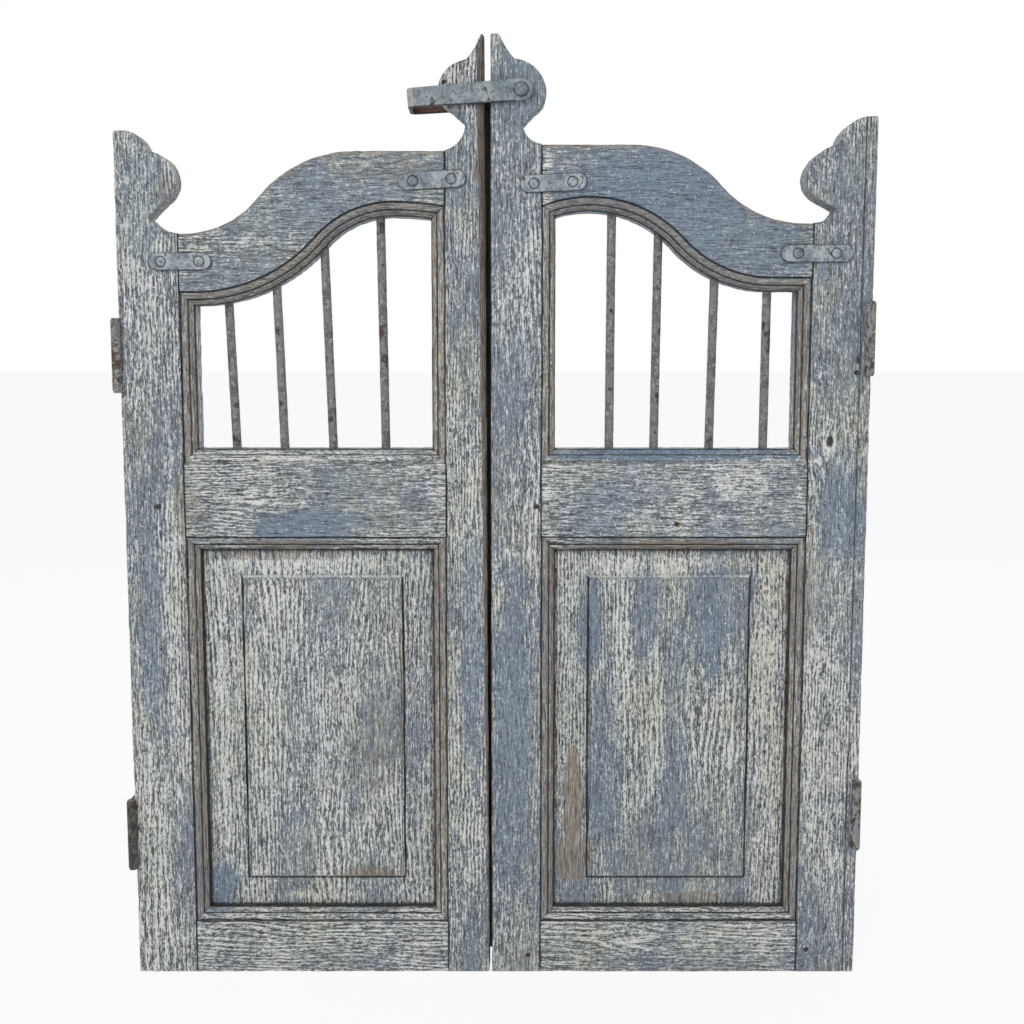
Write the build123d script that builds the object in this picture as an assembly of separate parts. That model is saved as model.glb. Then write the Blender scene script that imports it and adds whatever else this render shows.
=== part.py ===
from build123d import *
import os
from dataclasses import dataclass
from math import asin, atan2, cos, degrees, radians, sin, sqrt

# A latched pair of cafe door leaves, in millimetres.
# X runs along the doorway, Y goes from the front face to the back face, Z is up.
# The origin is on the floor line, midway between the outermost hinge knuckles, at mid thickness.
# Each leaf is drawn from its hinge edge (u = 0) towards the meeting edge, then put in its place.

# Leaves
leaf_thickness = 38.0
left_leaf_width = 418.0
right_leaf_width = 431.0
meeting_gap = 2.5
left_edge_taper = 4.5
left_bevel_width = 8.5
left_bevel_depth = 10.0
left_bevel_foot = 0.12

# Stiles, as the flat face beside the moulding
left_hinge_face = 69.0
left_meeting_face = 49.0
right_hinge_face = 69.0
right_meeting_face = 57.0

# Rails
panel_foot_height = 79.0
panel_head_height = 508.0
sill_height = 625.0
tenon_thickness = 12.0
tenon_length = 44.0
meeting_tenon_length = 38.0
tenon_shoulder = 6.0
mortise_clearance = 0.15

# Moulding run on the front edges of each opening
moulding_width = 16.0
moulding_depth = 7.0
moulding_fillet = 3.2
bead_step = 1.6
quirk_width = 1.3
quirk_depth = 2.6
sticking_depth = 12.0

# Panels
panel_setback = 13.0
panel_tongue = 8.0
panel_clearance = 0.15
groove_depth = 10.0
groove_spare = 1.0
field_rise = 4.0
field_bevel = 3.0
field_hinge_margin = 46.0
left_field_meeting_margin = 36.0
right_field_meeting_margin = 40.0
field_head_margin = 32.0
field_foot_margin = 34.0

# Iron bars
bar_diameter = 11.0
bar_embed = 16.0
bar_clearance = 0.1
left_bar_feet = (42.5, 97.5, 153.5, 214.0)
left_bar_heads = (36.5, 91.5, 146.5, 210.5)
right_bar_feet = (33.0, 95.5, 159.0, 210.5)
right_bar_heads = (32.0, 92.0, 156.5, 209.5)

# Butt hinges
hinge_height = 80.0
hinge_plate_thickness = 2.5
hinge_plate_reach = 30.0
hinge_plate_gap = 2.0
knuckle_diameter = 11.0
knuckle_count = 5
knuckle_end_gap = 0.3
knuckle_relief = 0.5
hinge_pin_diameter = 5.0
hinge_pin_clearance = 0.05
hinge_pin_head = 2.0
hinge_recess_clearance = 0.4
hinge_axis_forward = 3.0
left_axis_inset = -2.5
right_axis_inset = 3.0
left_hinge_heights = (171.0, 731.0)
right_hinge_heights = (195.0, 750.0)
hinge_screw_spacing = 26.0
hinge_hole_diameter = 5.0
hinge_screw_diameter = 4.0
hinge_screw_length = 22.0
hinge_screw_setback = 17.0

# Quirk that sets off the hinge-side bead of the right leaf
edge_bead_width = 13.0
edge_quirk_width = 1.8
edge_quirk_depth = 2.4

# Strap plates over the top rail joints
strap_height = 20.0
strap_thickness = 3.0
strap_hole_spacing = 43.0
left_hinge_strap_length = 71.0
left_meeting_strap_length = 76.0
right_hinge_strap_length = 82.0
right_meeting_strap_length = 75.0

# Screws and nails
screw_head_diameter = 10.0
screw_head_height = 1.6
screw_shank_diameter = 4.5
screw_length = 24.0
screw_slot_width = 1.3
screw_slot_depth = 0.8
left_hinge_strap_middle = 71.5
left_meeting_strap_setback = 63.0
right_hinge_strap_middle = 65.0
right_meeting_strap_setback = 70.0
nail_head_diameter = 6.5
nail_head_height = 0.8
nail_shank_diameter = 3.0
nail_length = 26.0
shank_clearance = 0.05
lock_nail_rise = 51.0
lock_middle_nail_rise = 31.0
lock_nail_edge = 52.0
left_lock_nail_edge = 39.0
foot_nail_edge = 43.0
foot_nail_height = 21.0

# Latch loop, a flat bar bent round the left finial and hung on a bolt
latch_bar_thickness = 4.5
latch_bend_height = 21.0
latch_eye_height = 25.0
latch_reach = 127.0
latch_side_clearance = 1.0
latch_bend_radius = 9.0
latch_tilt = 4.2
latch_bolt_setback = 34.0
latch_bolt_height = 1023.0
latch_bolt_diameter = 8.0
latch_bolt_clearance = 0.08
latch_head_diameter = 14.0
latch_head_height = 4.0

# Cover strip behind the meeting gap, nailed to the right leaf
strip_width = 34.0
strip_overlap = 10.0
strip_thickness = 7.0
strip_relief = 0.6
strip_foot = 14.0
strip_latch_clearance = 0.3
strip_nail_count = 6
strip_nail_end = 60.0

front = -leaf_thickness / 2
back = leaf_thickness / 2
overshoot = 1.0


@dataclass(frozen=True)
class Ogee:
    """An S-shaped edge: level, hollow arc up, round arc over, then level or falling away.

    low is the point where the hollow arc starts, turn the steepest slope in degrees.
    """
    low: tuple
    hollow_radius: float
    turn: float
    round_radius: float
    tail_radius: float = 0.0

    def crest(self):
        """The highest point, where the edge is level again."""
        reach = (self.hollow_radius + self.round_radius) * sin(radians(self.turn))
        rise = (self.hollow_radius + self.round_radius) * (1 - cos(radians(self.turn)))
        return self.low[0] + reach, self.low[1] + rise

    def height(self, u, offset=0.0):
        """Height of the edge, moved up by offset along its normal, at the distance u."""
        low_u, low_z = self.low
        crest_u, crest_z = self.crest()
        hollow = self.hollow_radius - offset
        rounded = self.round_radius + offset
        bend_u = low_u + hollow * sin(radians(self.turn))
        if u <= low_u:
            return low_z + offset
        if u <= bend_u:
            return low_z + self.hollow_radius - sqrt(hollow ** 2 - (u - low_u) ** 2)
        if u <= crest_u:
            return crest_z - self.round_radius + sqrt(rounded ** 2 - (crest_u - u) ** 2)
        if not self.tail_radius:
            return crest_z + offset
        tail = self.tail_radius + offset
        return crest_z - self.tail_radius + sqrt(tail ** 2 - (u - crest_u) ** 2)

    def edges(self, start, end):
        """The edge from start to end as straight runs and tangent arcs."""
        low_u, low_z = self.low
        crest_u, crest_z = self.crest()
        first = max(start - low_u, 0.0)
        first_angle = degrees(asin(first / self.hollow_radius))
        pieces = []
        if start < low_u:
            pieces.append(Line((start, low_z), (low_u, low_z)))
        pieces.append(CenterArc((low_u, low_z + self.hollow_radius), self.hollow_radius,
                                first_angle - 90, self.turn - first_angle))
        pieces.append(CenterArc((crest_u, crest_z - self.round_radius), self.round_radius,
                                90 + self.turn, -self.turn))
        if self.tail_radius:
            fall = degrees(asin((end - crest_u) / self.tail_radius))
            pieces.append(CenterArc((crest_u, crest_z - self.tail_radius), self.tail_radius,
                                    90, -fall))
        else:
            pieces.append(Line((crest_u, crest_z), (end, crest_z)))
        return pieces


@dataclass(frozen=True)
class Strap:
    """A strap plate: its middle on the leaf, its length and how far it is turned."""
    middle: tuple
    length: float
    turn: float


@dataclass(frozen=True)
class Leaf:
    """Everything that differs between the two leaves."""
    name: str
    width: float
    hinge_face: float
    meeting_face: float
    top_edge: Ogee
    arch: Ogee
    hinge_finial: tuple
    meeting_finial: tuple
    edge_taper: float
    bar_feet: tuple
    bar_heads: tuple
    axis_inset: float
    hinge_heights: tuple
    field_meeting_margin: float
    straps: tuple
    nails: tuple

    def hinge_open(self):
        """Where the openings start, seen from the hinge edge."""
        return self.hinge_face + moulding_width

    def meeting_open(self):
        """Where the openings end."""
        return self.width - self.meeting_face - moulding_width

    def meeting_joint(self):
        """Joint line between the rails and the meeting stile."""
        return self.width - self.meeting_face


# The upper edge of the top rail and the arch of the upper opening, leaf by leaf
left_top_edge = Ogee(low=(75.0, 867.5), hollow_radius=109.7, turn=50.0, round_radius=144.0)
left_arch = Ogee(low=(87.0, 787.0), hollow_radius=198.0, turn=48.0, round_radius=103.0,
                 tail_radius=308.0)
right_top_edge = Ogee(low=(80.0, 879.0), hollow_radius=123.9, turn=48.0, round_radius=136.0)
right_arch = Ogee(low=(115.0, 803.0), hollow_radius=151.0, turn=47.0, round_radius=129.0,
                  tail_radius=129.0)

# Finials, from the top of the free edge down to the rail joint. Each stroke is its end, or an
# arc's middle and end, as the distance from the free edge and the height above the joint.
left_hinge_finial = (
    ((0.0, 112.5),), ((12.0, 112.5),), ((28.0, 106.0), (36.0, 89.5)), ((60.0, 79.0), (67.0, 60.5)),
    ((64.0, 46.5), (54.0, 34.5)), ((36.0, 17.0),), ((49.0, 6.0),))
left_meeting_finial = (
    ((left_edge_taper, 125.0),), ((9.0, 125.0),), ((15.5, 110.0), (25.0, 97.5)),
    ((47.0, 86.5), (56.0, 67.5)), ((53.0, 54.0), (42.0, 45.0)), ((26.0, 31.0),), ((31.0, 12.0),))
right_hinge_finial = (
    ((0.0, 116.5),), ((5.0, 116.5),), ((31.0, 107.5), (44.0, 85.0)), ((69.0, 72.0), (79.0, 52.0)),
    ((76.0, 38.0), (66.0, 27.0)), ((44.0, 15.0),), ((53.0, 4.5),))
right_meeting_finial = (
    ((0.0, 119.0),), ((9.0, 119.0),), ((17.0, 104.0), (26.0, 92.0)), ((52.0, 79.5), (62.0, 57.0)),
    ((60.0, 46.0), (50.0, 36.0)), ((36.0, 21.0),), ((42.0, 7.0),))

left = Leaf(
    name="left", width=left_leaf_width, hinge_face=left_hinge_face,
    meeting_face=left_meeting_face, top_edge=left_top_edge, arch=left_arch,
    hinge_finial=left_hinge_finial, meeting_finial=left_meeting_finial,
    edge_taper=left_edge_taper, bar_feet=left_bar_feet, bar_heads=left_bar_heads,
    axis_inset=left_axis_inset, hinge_heights=left_hinge_heights,
    field_meeting_margin=left_field_meeting_margin,
    straps=(Strap((left_hinge_strap_middle, 836.0), left_hinge_strap_length, 0.5),
            Strap((left_leaf_width - left_meeting_strap_setback, 925.5),
                  left_meeting_strap_length, 3.2)),
    nails=((left_lock_nail_edge, panel_head_height + lock_nail_rise),))
right = Leaf(
    name="right", width=right_leaf_width, hinge_face=right_hinge_face,
    meeting_face=right_meeting_face, top_edge=right_top_edge, arch=right_arch,
    hinge_finial=right_hinge_finial, meeting_finial=right_meeting_finial,
    edge_taper=0.0, bar_feet=right_bar_feet, bar_heads=right_bar_heads,
    axis_inset=right_axis_inset, hinge_heights=right_hinge_heights,
    field_meeting_margin=right_field_meeting_margin,
    straps=(Strap((right_hinge_strap_middle, 845.0), right_hinge_strap_length, 0.0),
            Strap((right_leaf_width - right_meeting_strap_setback, 922.5),
                  right_meeting_strap_length, -2.5)),
    nails=((right_leaf_width - lock_nail_edge, panel_head_height + lock_nail_rise),
           (right_leaf_width / 2 + 2.5, panel_head_height + lock_middle_nail_rise),
           (right_leaf_width - foot_nail_edge, foot_nail_height), (57.0, 28.0), (17.0, 712.0)))

# Places along X
knuckle_radius = knuckle_diameter / 2
left_reach = left_leaf_width + knuckle_radius - left_axis_inset
right_reach = right_leaf_width + knuckle_radius - right_axis_inset
overall_width = left_reach + meeting_gap + right_reach
left_edge_x = -overall_width / 2 + knuckle_radius - left_axis_inset
right_edge_x = overall_width / 2 - knuckle_radius + right_axis_inset
axis_y = front - hinge_axis_forward


def place(shape, leaf):
    """Put a shape drawn on the leaf, from its hinge edge, in its place on the pair."""
    if leaf.name == "left":
        return Pos(left_edge_x, 0, 0) * shape
    return Pos(right_edge_x, 0, 0) * mirror(shape, about=Plane.YZ)


def plate(edges, y_from, y_to):
    """A closed outline of edges in X and Z, as a plate between two depths."""
    face = make_face(edges)
    upright = Plane(origin=(0, y_to, 0), x_dir=(1, 0, 0), z_dir=(0, -1, 0))
    solid = extrude(upright * face, amount=y_to - y_from)
    return solid


def polygon(points):
    """The straight edges of a closed outline."""
    return [Line(a, b) for a, b in zip(points, points[1:] + points[:1])]


def block(u_from, u_to, y_from, y_to, z_from, z_to):
    """A box between three pairs of limits."""
    middle = Pos((u_from + u_to) / 2, (y_from + y_to) / 2, (z_from + z_to) / 2)
    return middle * Box(u_to - u_from, y_to - y_from, z_to - z_from)


def rod_y(u, z, radius, y_from, y_to):
    """A cylinder that runs from front to back."""
    return Pos(u, (y_from + y_to) / 2, z) * Rot(90, 0, 0) * Cylinder(radius, y_to - y_from)


def rod_x(y, z, radius, u_from, u_to):
    """A cylinder that runs along the doorway."""
    return Pos((u_from + u_to) / 2, y, z) * Rot(0, 90, 0) * Cylinder(radius, u_to - u_from)


def rod_z(u, y, radius, z_from, z_to):
    """An upright cylinder."""
    return Pos(u, y, (z_from + z_to) / 2) * Cylinder(radius, z_to - z_from)


def moulding_section(origin, along, into):
    """What the moulding plane takes off: its section at origin, for a run in a direction.

    into points from the opening into the wood. The surface left is a quirk, a round bead,
    a small step and a flat fillet beside the opening.
    """
    section = Plane(origin=origin, x_dir=into, z_dir=along)
    side = 1 if section.y_dir.Y > 0 else -1
    bead_foot = moulding_fillet + 0.3
    bead_head = moulding_width - quirk_width - 1.0

    def at(across, depth):
        return across, side * depth

    edges = [
        Line(at(-overshoot, -overshoot), at(moulding_width, -overshoot)),
        Line(at(moulding_width, -overshoot), at(moulding_width, quirk_depth)),
        Line(at(moulding_width, quirk_depth), at(moulding_width - quirk_width, quirk_depth)),
        Line(at(moulding_width - quirk_width, quirk_depth), at(bead_head, quirk_depth / 3)),
        ThreePointArc(at(bead_head, quirk_depth / 3),
                      at((bead_head + bead_foot) / 2 - 0.6, moulding_depth * 0.27),
                      at(bead_foot, moulding_depth - bead_step)),
        Line(at(bead_foot, moulding_depth - bead_step), at(moulding_fillet, moulding_depth)),
        Line(at(moulding_fillet, moulding_depth), at(-overshoot, moulding_depth)),
        Line(at(-overshoot, moulding_depth), at(-overshoot, -overshoot)),
    ]
    return section * make_face(edges)


def straight_moulding(start, end, into):
    """The moulding cut along a straight edge between two points of X and Z."""
    run = Vector(end[0] - start[0], 0, end[1] - start[1])
    section = moulding_section((start[0], front, start[1]), run.normalized(), into)
    return extrude(section, amount=run.length)


def arch_moulding(leaf):
    """The moulding cut along the arch, swept from one stile joint to the other."""
    upright = Plane(origin=(0, front, 0), x_dir=(1, 0, 0), z_dir=(0, -1, 0))
    path = Wire([upright * edge for edge in
                 leaf.arch.edges(leaf.hinge_face, leaf.meeting_joint())])
    section = moulding_section(path @ 0, path % 0, (0, 0, 1))
    return sweep(section, path=path, normal=(0, 1, 0))


def finial_edges(strokes, joint_z, joint_d):
    """A finial from the top of the free edge to the rail joint, as lines and arcs."""
    def lift(point):
        return point[0], point[1] + joint_z

    here = lift(strokes[0][0])
    edges = []
    for stroke in strokes[1:-1]:
        there = lift(stroke[-1])
        if len(stroke) == 1:
            edges.append(Line(here, there))
        else:
            edges.append(ThreePointArc(here, lift(stroke[0]), there))
        here = there
    edges.append(ThreePointArc(here, lift(strokes[-1][0]), (joint_d, joint_z)))
    return edges


def stile(leaf, face, strokes, arch_z, offset_z, joint_z, open_z):
    """A stile drawn from its free edge, with its finial, mitred mouldings and groove.

    arch_z is where the arch meets the stile, offset_z where the moulding's outer line meets
    the joint, joint_z and open_z the rail's upper edge at the joint and at the opening.
    """
    opening = face + moulding_width
    mitres = [
        (face, 0.0), (face, panel_foot_height - moulding_width), (opening, panel_foot_height),
        (opening, panel_head_height), (face, panel_head_height + moulding_width),
        (face, sill_height - moulding_width), (opening, sill_height), (opening, arch_z),
        (face, offset_z), (face, joint_z)]
    head = finial_edges(strokes, joint_z, face)
    top = (strokes[0][0][0], strokes[0][0][1] + joint_z)
    free_edge = [Line(top, (0, 0)), Line((0, 0), mitres[0])]
    face_layer = head + free_edge + [Line(a, b) for a, b in zip(mitres, mitres[1:])]
    core_layer = head + [Line(top, (0, 0)), Line((0, 0), (opening, 0)),
                         Line((opening, 0), (opening, open_z)),
                         Line((opening, open_z), (face, joint_z))]
    step = front + sticking_depth
    solid = plate(face_layer, front, step) + plate(core_layer, step, back)
    solid -= straight_moulding((opening, panel_foot_height - moulding_width),
                               (opening, panel_head_height + moulding_width), (-1, 0, 0))
    solid -= straight_moulding((opening, sill_height - moulding_width),
                               (opening, offset_z), (-1, 0, 0))
    solid -= panel_groove(opening - groove_depth, opening + overshoot,
                          panel_foot_height - groove_depth, panel_head_height + groove_depth)
    return solid


def panel_groove(u_from, u_to, z_from, z_to):
    """The slot that holds the panel's tongue."""
    slot_front = front + panel_setback - panel_clearance
    slot_back = front + panel_setback + panel_tongue + panel_clearance
    return block(u_from, u_to, slot_front, slot_back, z_from, z_to)


def tenon_levels(leaf):
    """Lower and upper limit of each rail's tenons, at the hinge and at the meeting stile."""
    hinge_top = leaf.top_edge.height(leaf.hinge_face) - tenon_shoulder
    meeting_top = leaf.top_edge.height(leaf.meeting_joint()) - tenon_shoulder
    hinge_arch = leaf.arch.height(leaf.hinge_face, moulding_width)
    meeting_arch = leaf.arch.height(leaf.meeting_joint(), moulding_width)
    bottom = (tenon_shoulder + moulding_width, panel_foot_height - moulding_width)
    lock = (panel_head_height + moulding_width, sill_height - moulding_width)
    return {
        "bottom": (bottom, bottom),
        "lock": (lock, lock),
        "top": ((hinge_arch, hinge_top), (meeting_arch, meeting_top)),
    }


def tenons(leaf, rail, spare=0.0):
    """The two tenons of a rail, or with spare added all round, their mortises."""
    hinge_levels, meeting_levels = tenon_levels(leaf)[rail]
    half = tenon_thickness / 2 + spare
    hinge_side = block(leaf.hinge_open() - tenon_length - spare, leaf.hinge_open(),
                       -half, half, hinge_levels[0] - spare, hinge_levels[1] + spare)
    meeting_side = block(leaf.meeting_open(), leaf.meeting_open() + meeting_tenon_length + spare,
                         -half, half, meeting_levels[0] - spare, meeting_levels[1] + spare)
    return hinge_side, meeting_side


def cut_all(solid, cutters):
    """Take every cutter off a solid."""
    for cutter in cutters:
        solid = solid - cutter
    return solid


def hinge_stile(leaf):
    """The stile that carries the hinges, with recesses, mortises and screw holes."""
    joint, opening = leaf.hinge_face, leaf.hinge_open()
    solid = stile(leaf, joint, leaf.hinge_finial, leaf.arch.height(opening),
                  leaf.arch.height(joint, moulding_width), leaf.top_edge.height(joint),
                  leaf.top_edge.height(opening))
    for rail in ("bottom", "lock", "top"):
        solid -= tenons(leaf, rail, mortise_clearance)[0]
    for height in leaf.hinge_heights:
        solid = cut_all(solid, hinge_recess(leaf, height))
    if leaf.name == "right":
        solid -= edge_quirk(leaf)
    return cut_all(solid, fastener_holes(leaf))


def meeting_stile(leaf):
    """The stile at the meeting edge, drawn from that edge and turned round."""
    joint, opening = leaf.meeting_joint(), leaf.meeting_open()
    solid = stile(leaf, leaf.meeting_face, leaf.meeting_finial, leaf.arch.height(opening),
                  leaf.arch.height(joint, moulding_width), leaf.top_edge.height(joint),
                  leaf.top_edge.height(opening))
    if leaf.name == "left":
        solid -= meeting_bevel(leaf)
    else:
        solid -= rod_y(latch_bolt_setback, latch_bolt_height,
                       latch_bolt_diameter / 2 + shank_clearance, front - overshoot,
                       back + overshoot)
    solid = Pos(leaf.width, 0, 0) * mirror(solid, about=Plane.YZ)
    for rail in ("bottom", "lock", "top"):
        solid -= tenons(leaf, rail, mortise_clearance)[1]
    solid = cut_all(solid, fastener_holes(leaf))
    if leaf.name == "right":
        solid = cut_all(solid, [nail_y(u, z, back, -1, shank_clearance)
                                for u, z in strip_nail_places(leaf)])
    return solid


def meeting_bevel(leaf):
    """The planed-off front corner of the left meeting edge, widest at the tip."""
    tip = leaf.top_edge.height(leaf.meeting_joint()) + leaf.meeting_finial[0][0][1]
    triangles = []
    for share, z in ((left_bevel_foot, -overshoot), (1.0, tip + overshoot)):
        width = left_bevel_width * share + leaf.edge_taper * (z > 0)
        depth = left_bevel_depth * share
        outline = polygon([(-overshoot, front - overshoot), (width, front - overshoot),
                           (width, front), (-overshoot, front + depth)])
        triangles.append(Pos(0, 0, z) * make_face(outline))
    return loft(triangles, ruled=True)


def edge_quirk(leaf):
    """The narrow groove that leaves a bead along the hinge edge."""
    half = edge_quirk_width / 2
    tip = leaf.top_edge.height(leaf.hinge_face) + leaf.hinge_finial[0][0][1]
    groove = polygon([(edge_bead_width - half, front - overshoot),
                      (edge_bead_width + half, front - overshoot),
                      (edge_bead_width + half, front),
                      (edge_bead_width, front + edge_quirk_depth),
                      (edge_bead_width - half, front)])
    return extrude(Pos(0, 0, -overshoot) * make_face(groove), amount=tip + 2 * overshoot)


def straight_rail(leaf, name, z_from, z_to, moulded_foot):
    """The lock or the bottom rail, moulded on its upper and perhaps its lower edge."""
    joints = (leaf.hinge_face, leaf.meeting_joint())
    opens = (leaf.hinge_open(), leaf.meeting_open())
    outline = [(joints[1], z_to - moulding_width), (opens[1], z_to), (opens[0], z_to),
               (joints[0], z_to - moulding_width)]
    if moulded_foot:
        outline += [(joints[0], z_from + moulding_width), (opens[0], z_from),
                    (opens[1], z_from), (joints[1], z_from + moulding_width)]
    else:
        outline += [(joints[0], z_from), (joints[1], z_from)]
    step = front + sticking_depth
    solid = plate(polygon(outline), front, step) + block(opens[0], opens[1], step, back,
                                                         z_from, z_to)
    for tenon in tenons(leaf, name):
        solid += tenon
    solid -= straight_moulding((joints[0], z_to), (joints[1], z_to), (0, 0, -1))
    if moulded_foot:
        solid -= straight_moulding((joints[0], z_from), (joints[1], z_from), (0, 0, 1))
    slot = (z_from - overshoot, z_from + groove_depth) if moulded_foot else (
        z_to - groove_depth, z_to + overshoot)
    solid -= panel_groove(opens[0] - overshoot, opens[1] + overshoot, *slot)
    if moulded_foot:
        solid = cut_all(solid, [bar(leaf, number, bar_clearance) for number in range(len(leaf.bar_feet))])
    return cut_all(solid, fastener_holes(leaf))


def top_rail(leaf):
    """The shaped top rail, with the moulding run round its arch and mitred into the stiles."""
    joints = (leaf.hinge_face, leaf.meeting_joint())
    opens = (leaf.hinge_open(), leaf.meeting_open())
    arch, crown = leaf.arch, leaf.top_edge
    foot = [arch.height(u) for u in opens]
    mitre = [arch.height(u, moulding_width) for u in joints]
    head = [crown.height(u) for u in joints]
    face_layer = (arch.edges(*opens) + crown.edges(*joints) + [
        Line((opens[0], foot[0]), (joints[0], mitre[0])),
        Line((joints[0], mitre[0]), (joints[0], head[0])),
        Line((opens[1], foot[1]), (joints[1], mitre[1])),
        Line((joints[1], mitre[1]), (joints[1], head[1]))])
    core_layer = (arch.edges(*opens) + crown.edges(*opens) + [
        Line((opens[0], foot[0]), (opens[0], crown.height(opens[0]))),
        Line((opens[1], foot[1]), (opens[1], crown.height(opens[1])))])
    step = front + sticking_depth
    solid = plate(face_layer, front, step) + plate(core_layer, step, back)
    for tenon in tenons(leaf, "top"):
        solid += tenon
    solid -= arch_moulding(leaf)
    solid = cut_all(solid, [bar(leaf, number, bar_clearance) for number in range(len(leaf.bar_feet))])
    return cut_all(solid, fastener_holes(leaf))


def panel(leaf):
    """A panel whose tongue sits in the grooves, with a raised and bevelled field in front."""
    reach = groove_depth - groove_spare
    u_from, u_to = leaf.hinge_open(), leaf.meeting_open()
    face_y = front + panel_setback
    board = block(u_from - reach, u_to + reach, face_y, face_y + panel_tongue,
                  panel_foot_height - reach, panel_head_height + reach)
    field = polygon([
        (u_from + field_hinge_margin, panel_foot_height + field_foot_margin),
        (u_to - leaf.field_meeting_margin, panel_foot_height + field_foot_margin),
        (u_to - leaf.field_meeting_margin, panel_head_height - field_head_margin),
        (u_from + field_hinge_margin, panel_head_height - field_head_margin)])
    upright = Plane(origin=(0, face_y, 0), x_dir=(1, 0, 0), z_dir=(0, -1, 0))
    raised = extrude(upright * make_face(field), amount=field_rise,
                     taper=degrees(atan2(field_bevel, field_rise)))
    return board + raised


def bar(leaf, number, spare=0.0):
    """One iron bar, let into the lock rail and the top rail."""
    foot_u = leaf.hinge_open() + leaf.bar_feet[number]
    head_u = leaf.hinge_open() + leaf.bar_heads[number]
    foot = Vector(foot_u, 0, sill_height)
    head = Vector(head_u, 0, leaf.arch.height(head_u))
    slope = (head - foot).normalized()
    foot -= slope * (bar_embed + spare)
    head += slope * (bar_embed + spare)
    section = Plane(origin=foot, z_dir=slope) * Circle(bar_diameter / 2 + spare)
    return extrude(section, amount=(head - foot).length)


def stadium(middle, length, height, turn):
    """A plate outline with round ends, turned in the face of the leaf."""
    shape = Rot(0, 0, turn) * SlotOverall(length, height)
    return Pos(middle[0], middle[1]) * shape


def strap_holes(strap):
    """Where a strap's two screws go in."""
    places = []
    for side in (-1, 1):
        reach = side * strap_hole_spacing / 2
        places.append((strap.middle[0] + reach * cos(radians(strap.turn)),
                       strap.middle[1] + reach * sin(radians(strap.turn))))
    return places


def strap_plate(strap):
    """A strap plate on the front face, drilled for its screws."""
    upright = Plane(origin=(0, front, 0), x_dir=(1, 0, 0), z_dir=(0, -1, 0))
    outline = stadium(strap.middle, strap.length, strap_height, strap.turn)
    solid = extrude(upright * outline, amount=strap_thickness)
    for u, z in strap_holes(strap):
        solid -= rod_y(u, z, screw_shank_diameter / 2 + shank_clearance,
                       front - strap_thickness - overshoot, front + overshoot)
    return solid


def screw_y(u, z, seat, spare=0.0):
    """A slotted round-head screw driven from the front, its head on the depth seat."""
    if spare:
        return rod_y(u, z, screw_shank_diameter / 2 + spare, seat, seat + screw_length + spare)
    shank = rod_y(u, z, screw_shank_diameter / 2, seat, seat + screw_length)
    cap = rod_y(u, z, screw_head_diameter / 2, seat - screw_head_height, seat)
    rim = cap.edges().filter_by(GeomType.CIRCLE).sort_by(Axis.Y)[0]
    cap = chamfer(rim, screw_head_height * 0.55)
    slot = block(u - screw_head_diameter, u + screw_head_diameter,
                 seat - screw_head_height - overshoot,
                 seat - screw_head_height + screw_slot_depth,
                 z - screw_slot_width / 2, z + screw_slot_width / 2)
    return shank + (cap - slot)


def nail_y(u, z, seat, inward=1, spare=0.0):
    """A nail along Y with its flat head on the depth seat, driven in the sense of inward."""
    tip = seat + inward * (nail_length + spare)
    shank = rod_y(u, z, nail_shank_diameter / 2 + spare, min(seat, tip), max(seat, tip))
    if spare:
        return shank
    top = seat - inward * nail_head_height
    return shank + rod_y(u, z, nail_head_diameter / 2, min(seat, top), max(seat, top))


def fastener_holes(leaf):
    """Holes in the wood for every screw and nail that goes into a leaf from the front."""
    holes = [nail_y(u, z, front, 1, shank_clearance) for u, z in leaf.nails]
    for strap in leaf.straps:
        holes += [screw_y(u, z, front, shank_clearance) for u, z in strap_holes(strap)]
    return holes


def hinge_screw_levels(height):
    """Heights of the three screws of a hinge plate."""
    return [height + step * hinge_screw_spacing for step in (-1, 0, 1)]


def hinge_recess(leaf, height):
    """What is cut from the stile for one hinge: plate seats, knuckle relief and screw holes."""
    reach = hinge_height / 2 + hinge_recess_clearance
    depth = leaf.axis_inset + hinge_plate_gap / 2 + hinge_plate_thickness
    plate_end = front + hinge_plate_reach + hinge_recess_clearance
    seat = block(-overshoot, depth, front - overshoot, plate_end, height - reach, height + reach)
    round_seat = rod_z(leaf.axis_inset, axis_y, knuckle_radius + knuckle_relief,
                       height - reach - hinge_pin_head, height + reach + hinge_pin_head)
    holes = [rod_x(front + hinge_screw_setback, z, hinge_screw_diameter / 2 + shank_clearance,
                   0, depth + hinge_screw_length + shank_clearance)
             for z in hinge_screw_levels(height)]
    return [seat, round_seat] + holes


def knuckle_bands(height):
    """Lower and upper end of each knuckle, from the bottom up."""
    pitch = hinge_height / knuckle_count
    foot = height - hinge_height / 2
    return [(foot + index * pitch, foot + (index + 1) * pitch) for index in range(knuckle_count)]


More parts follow.
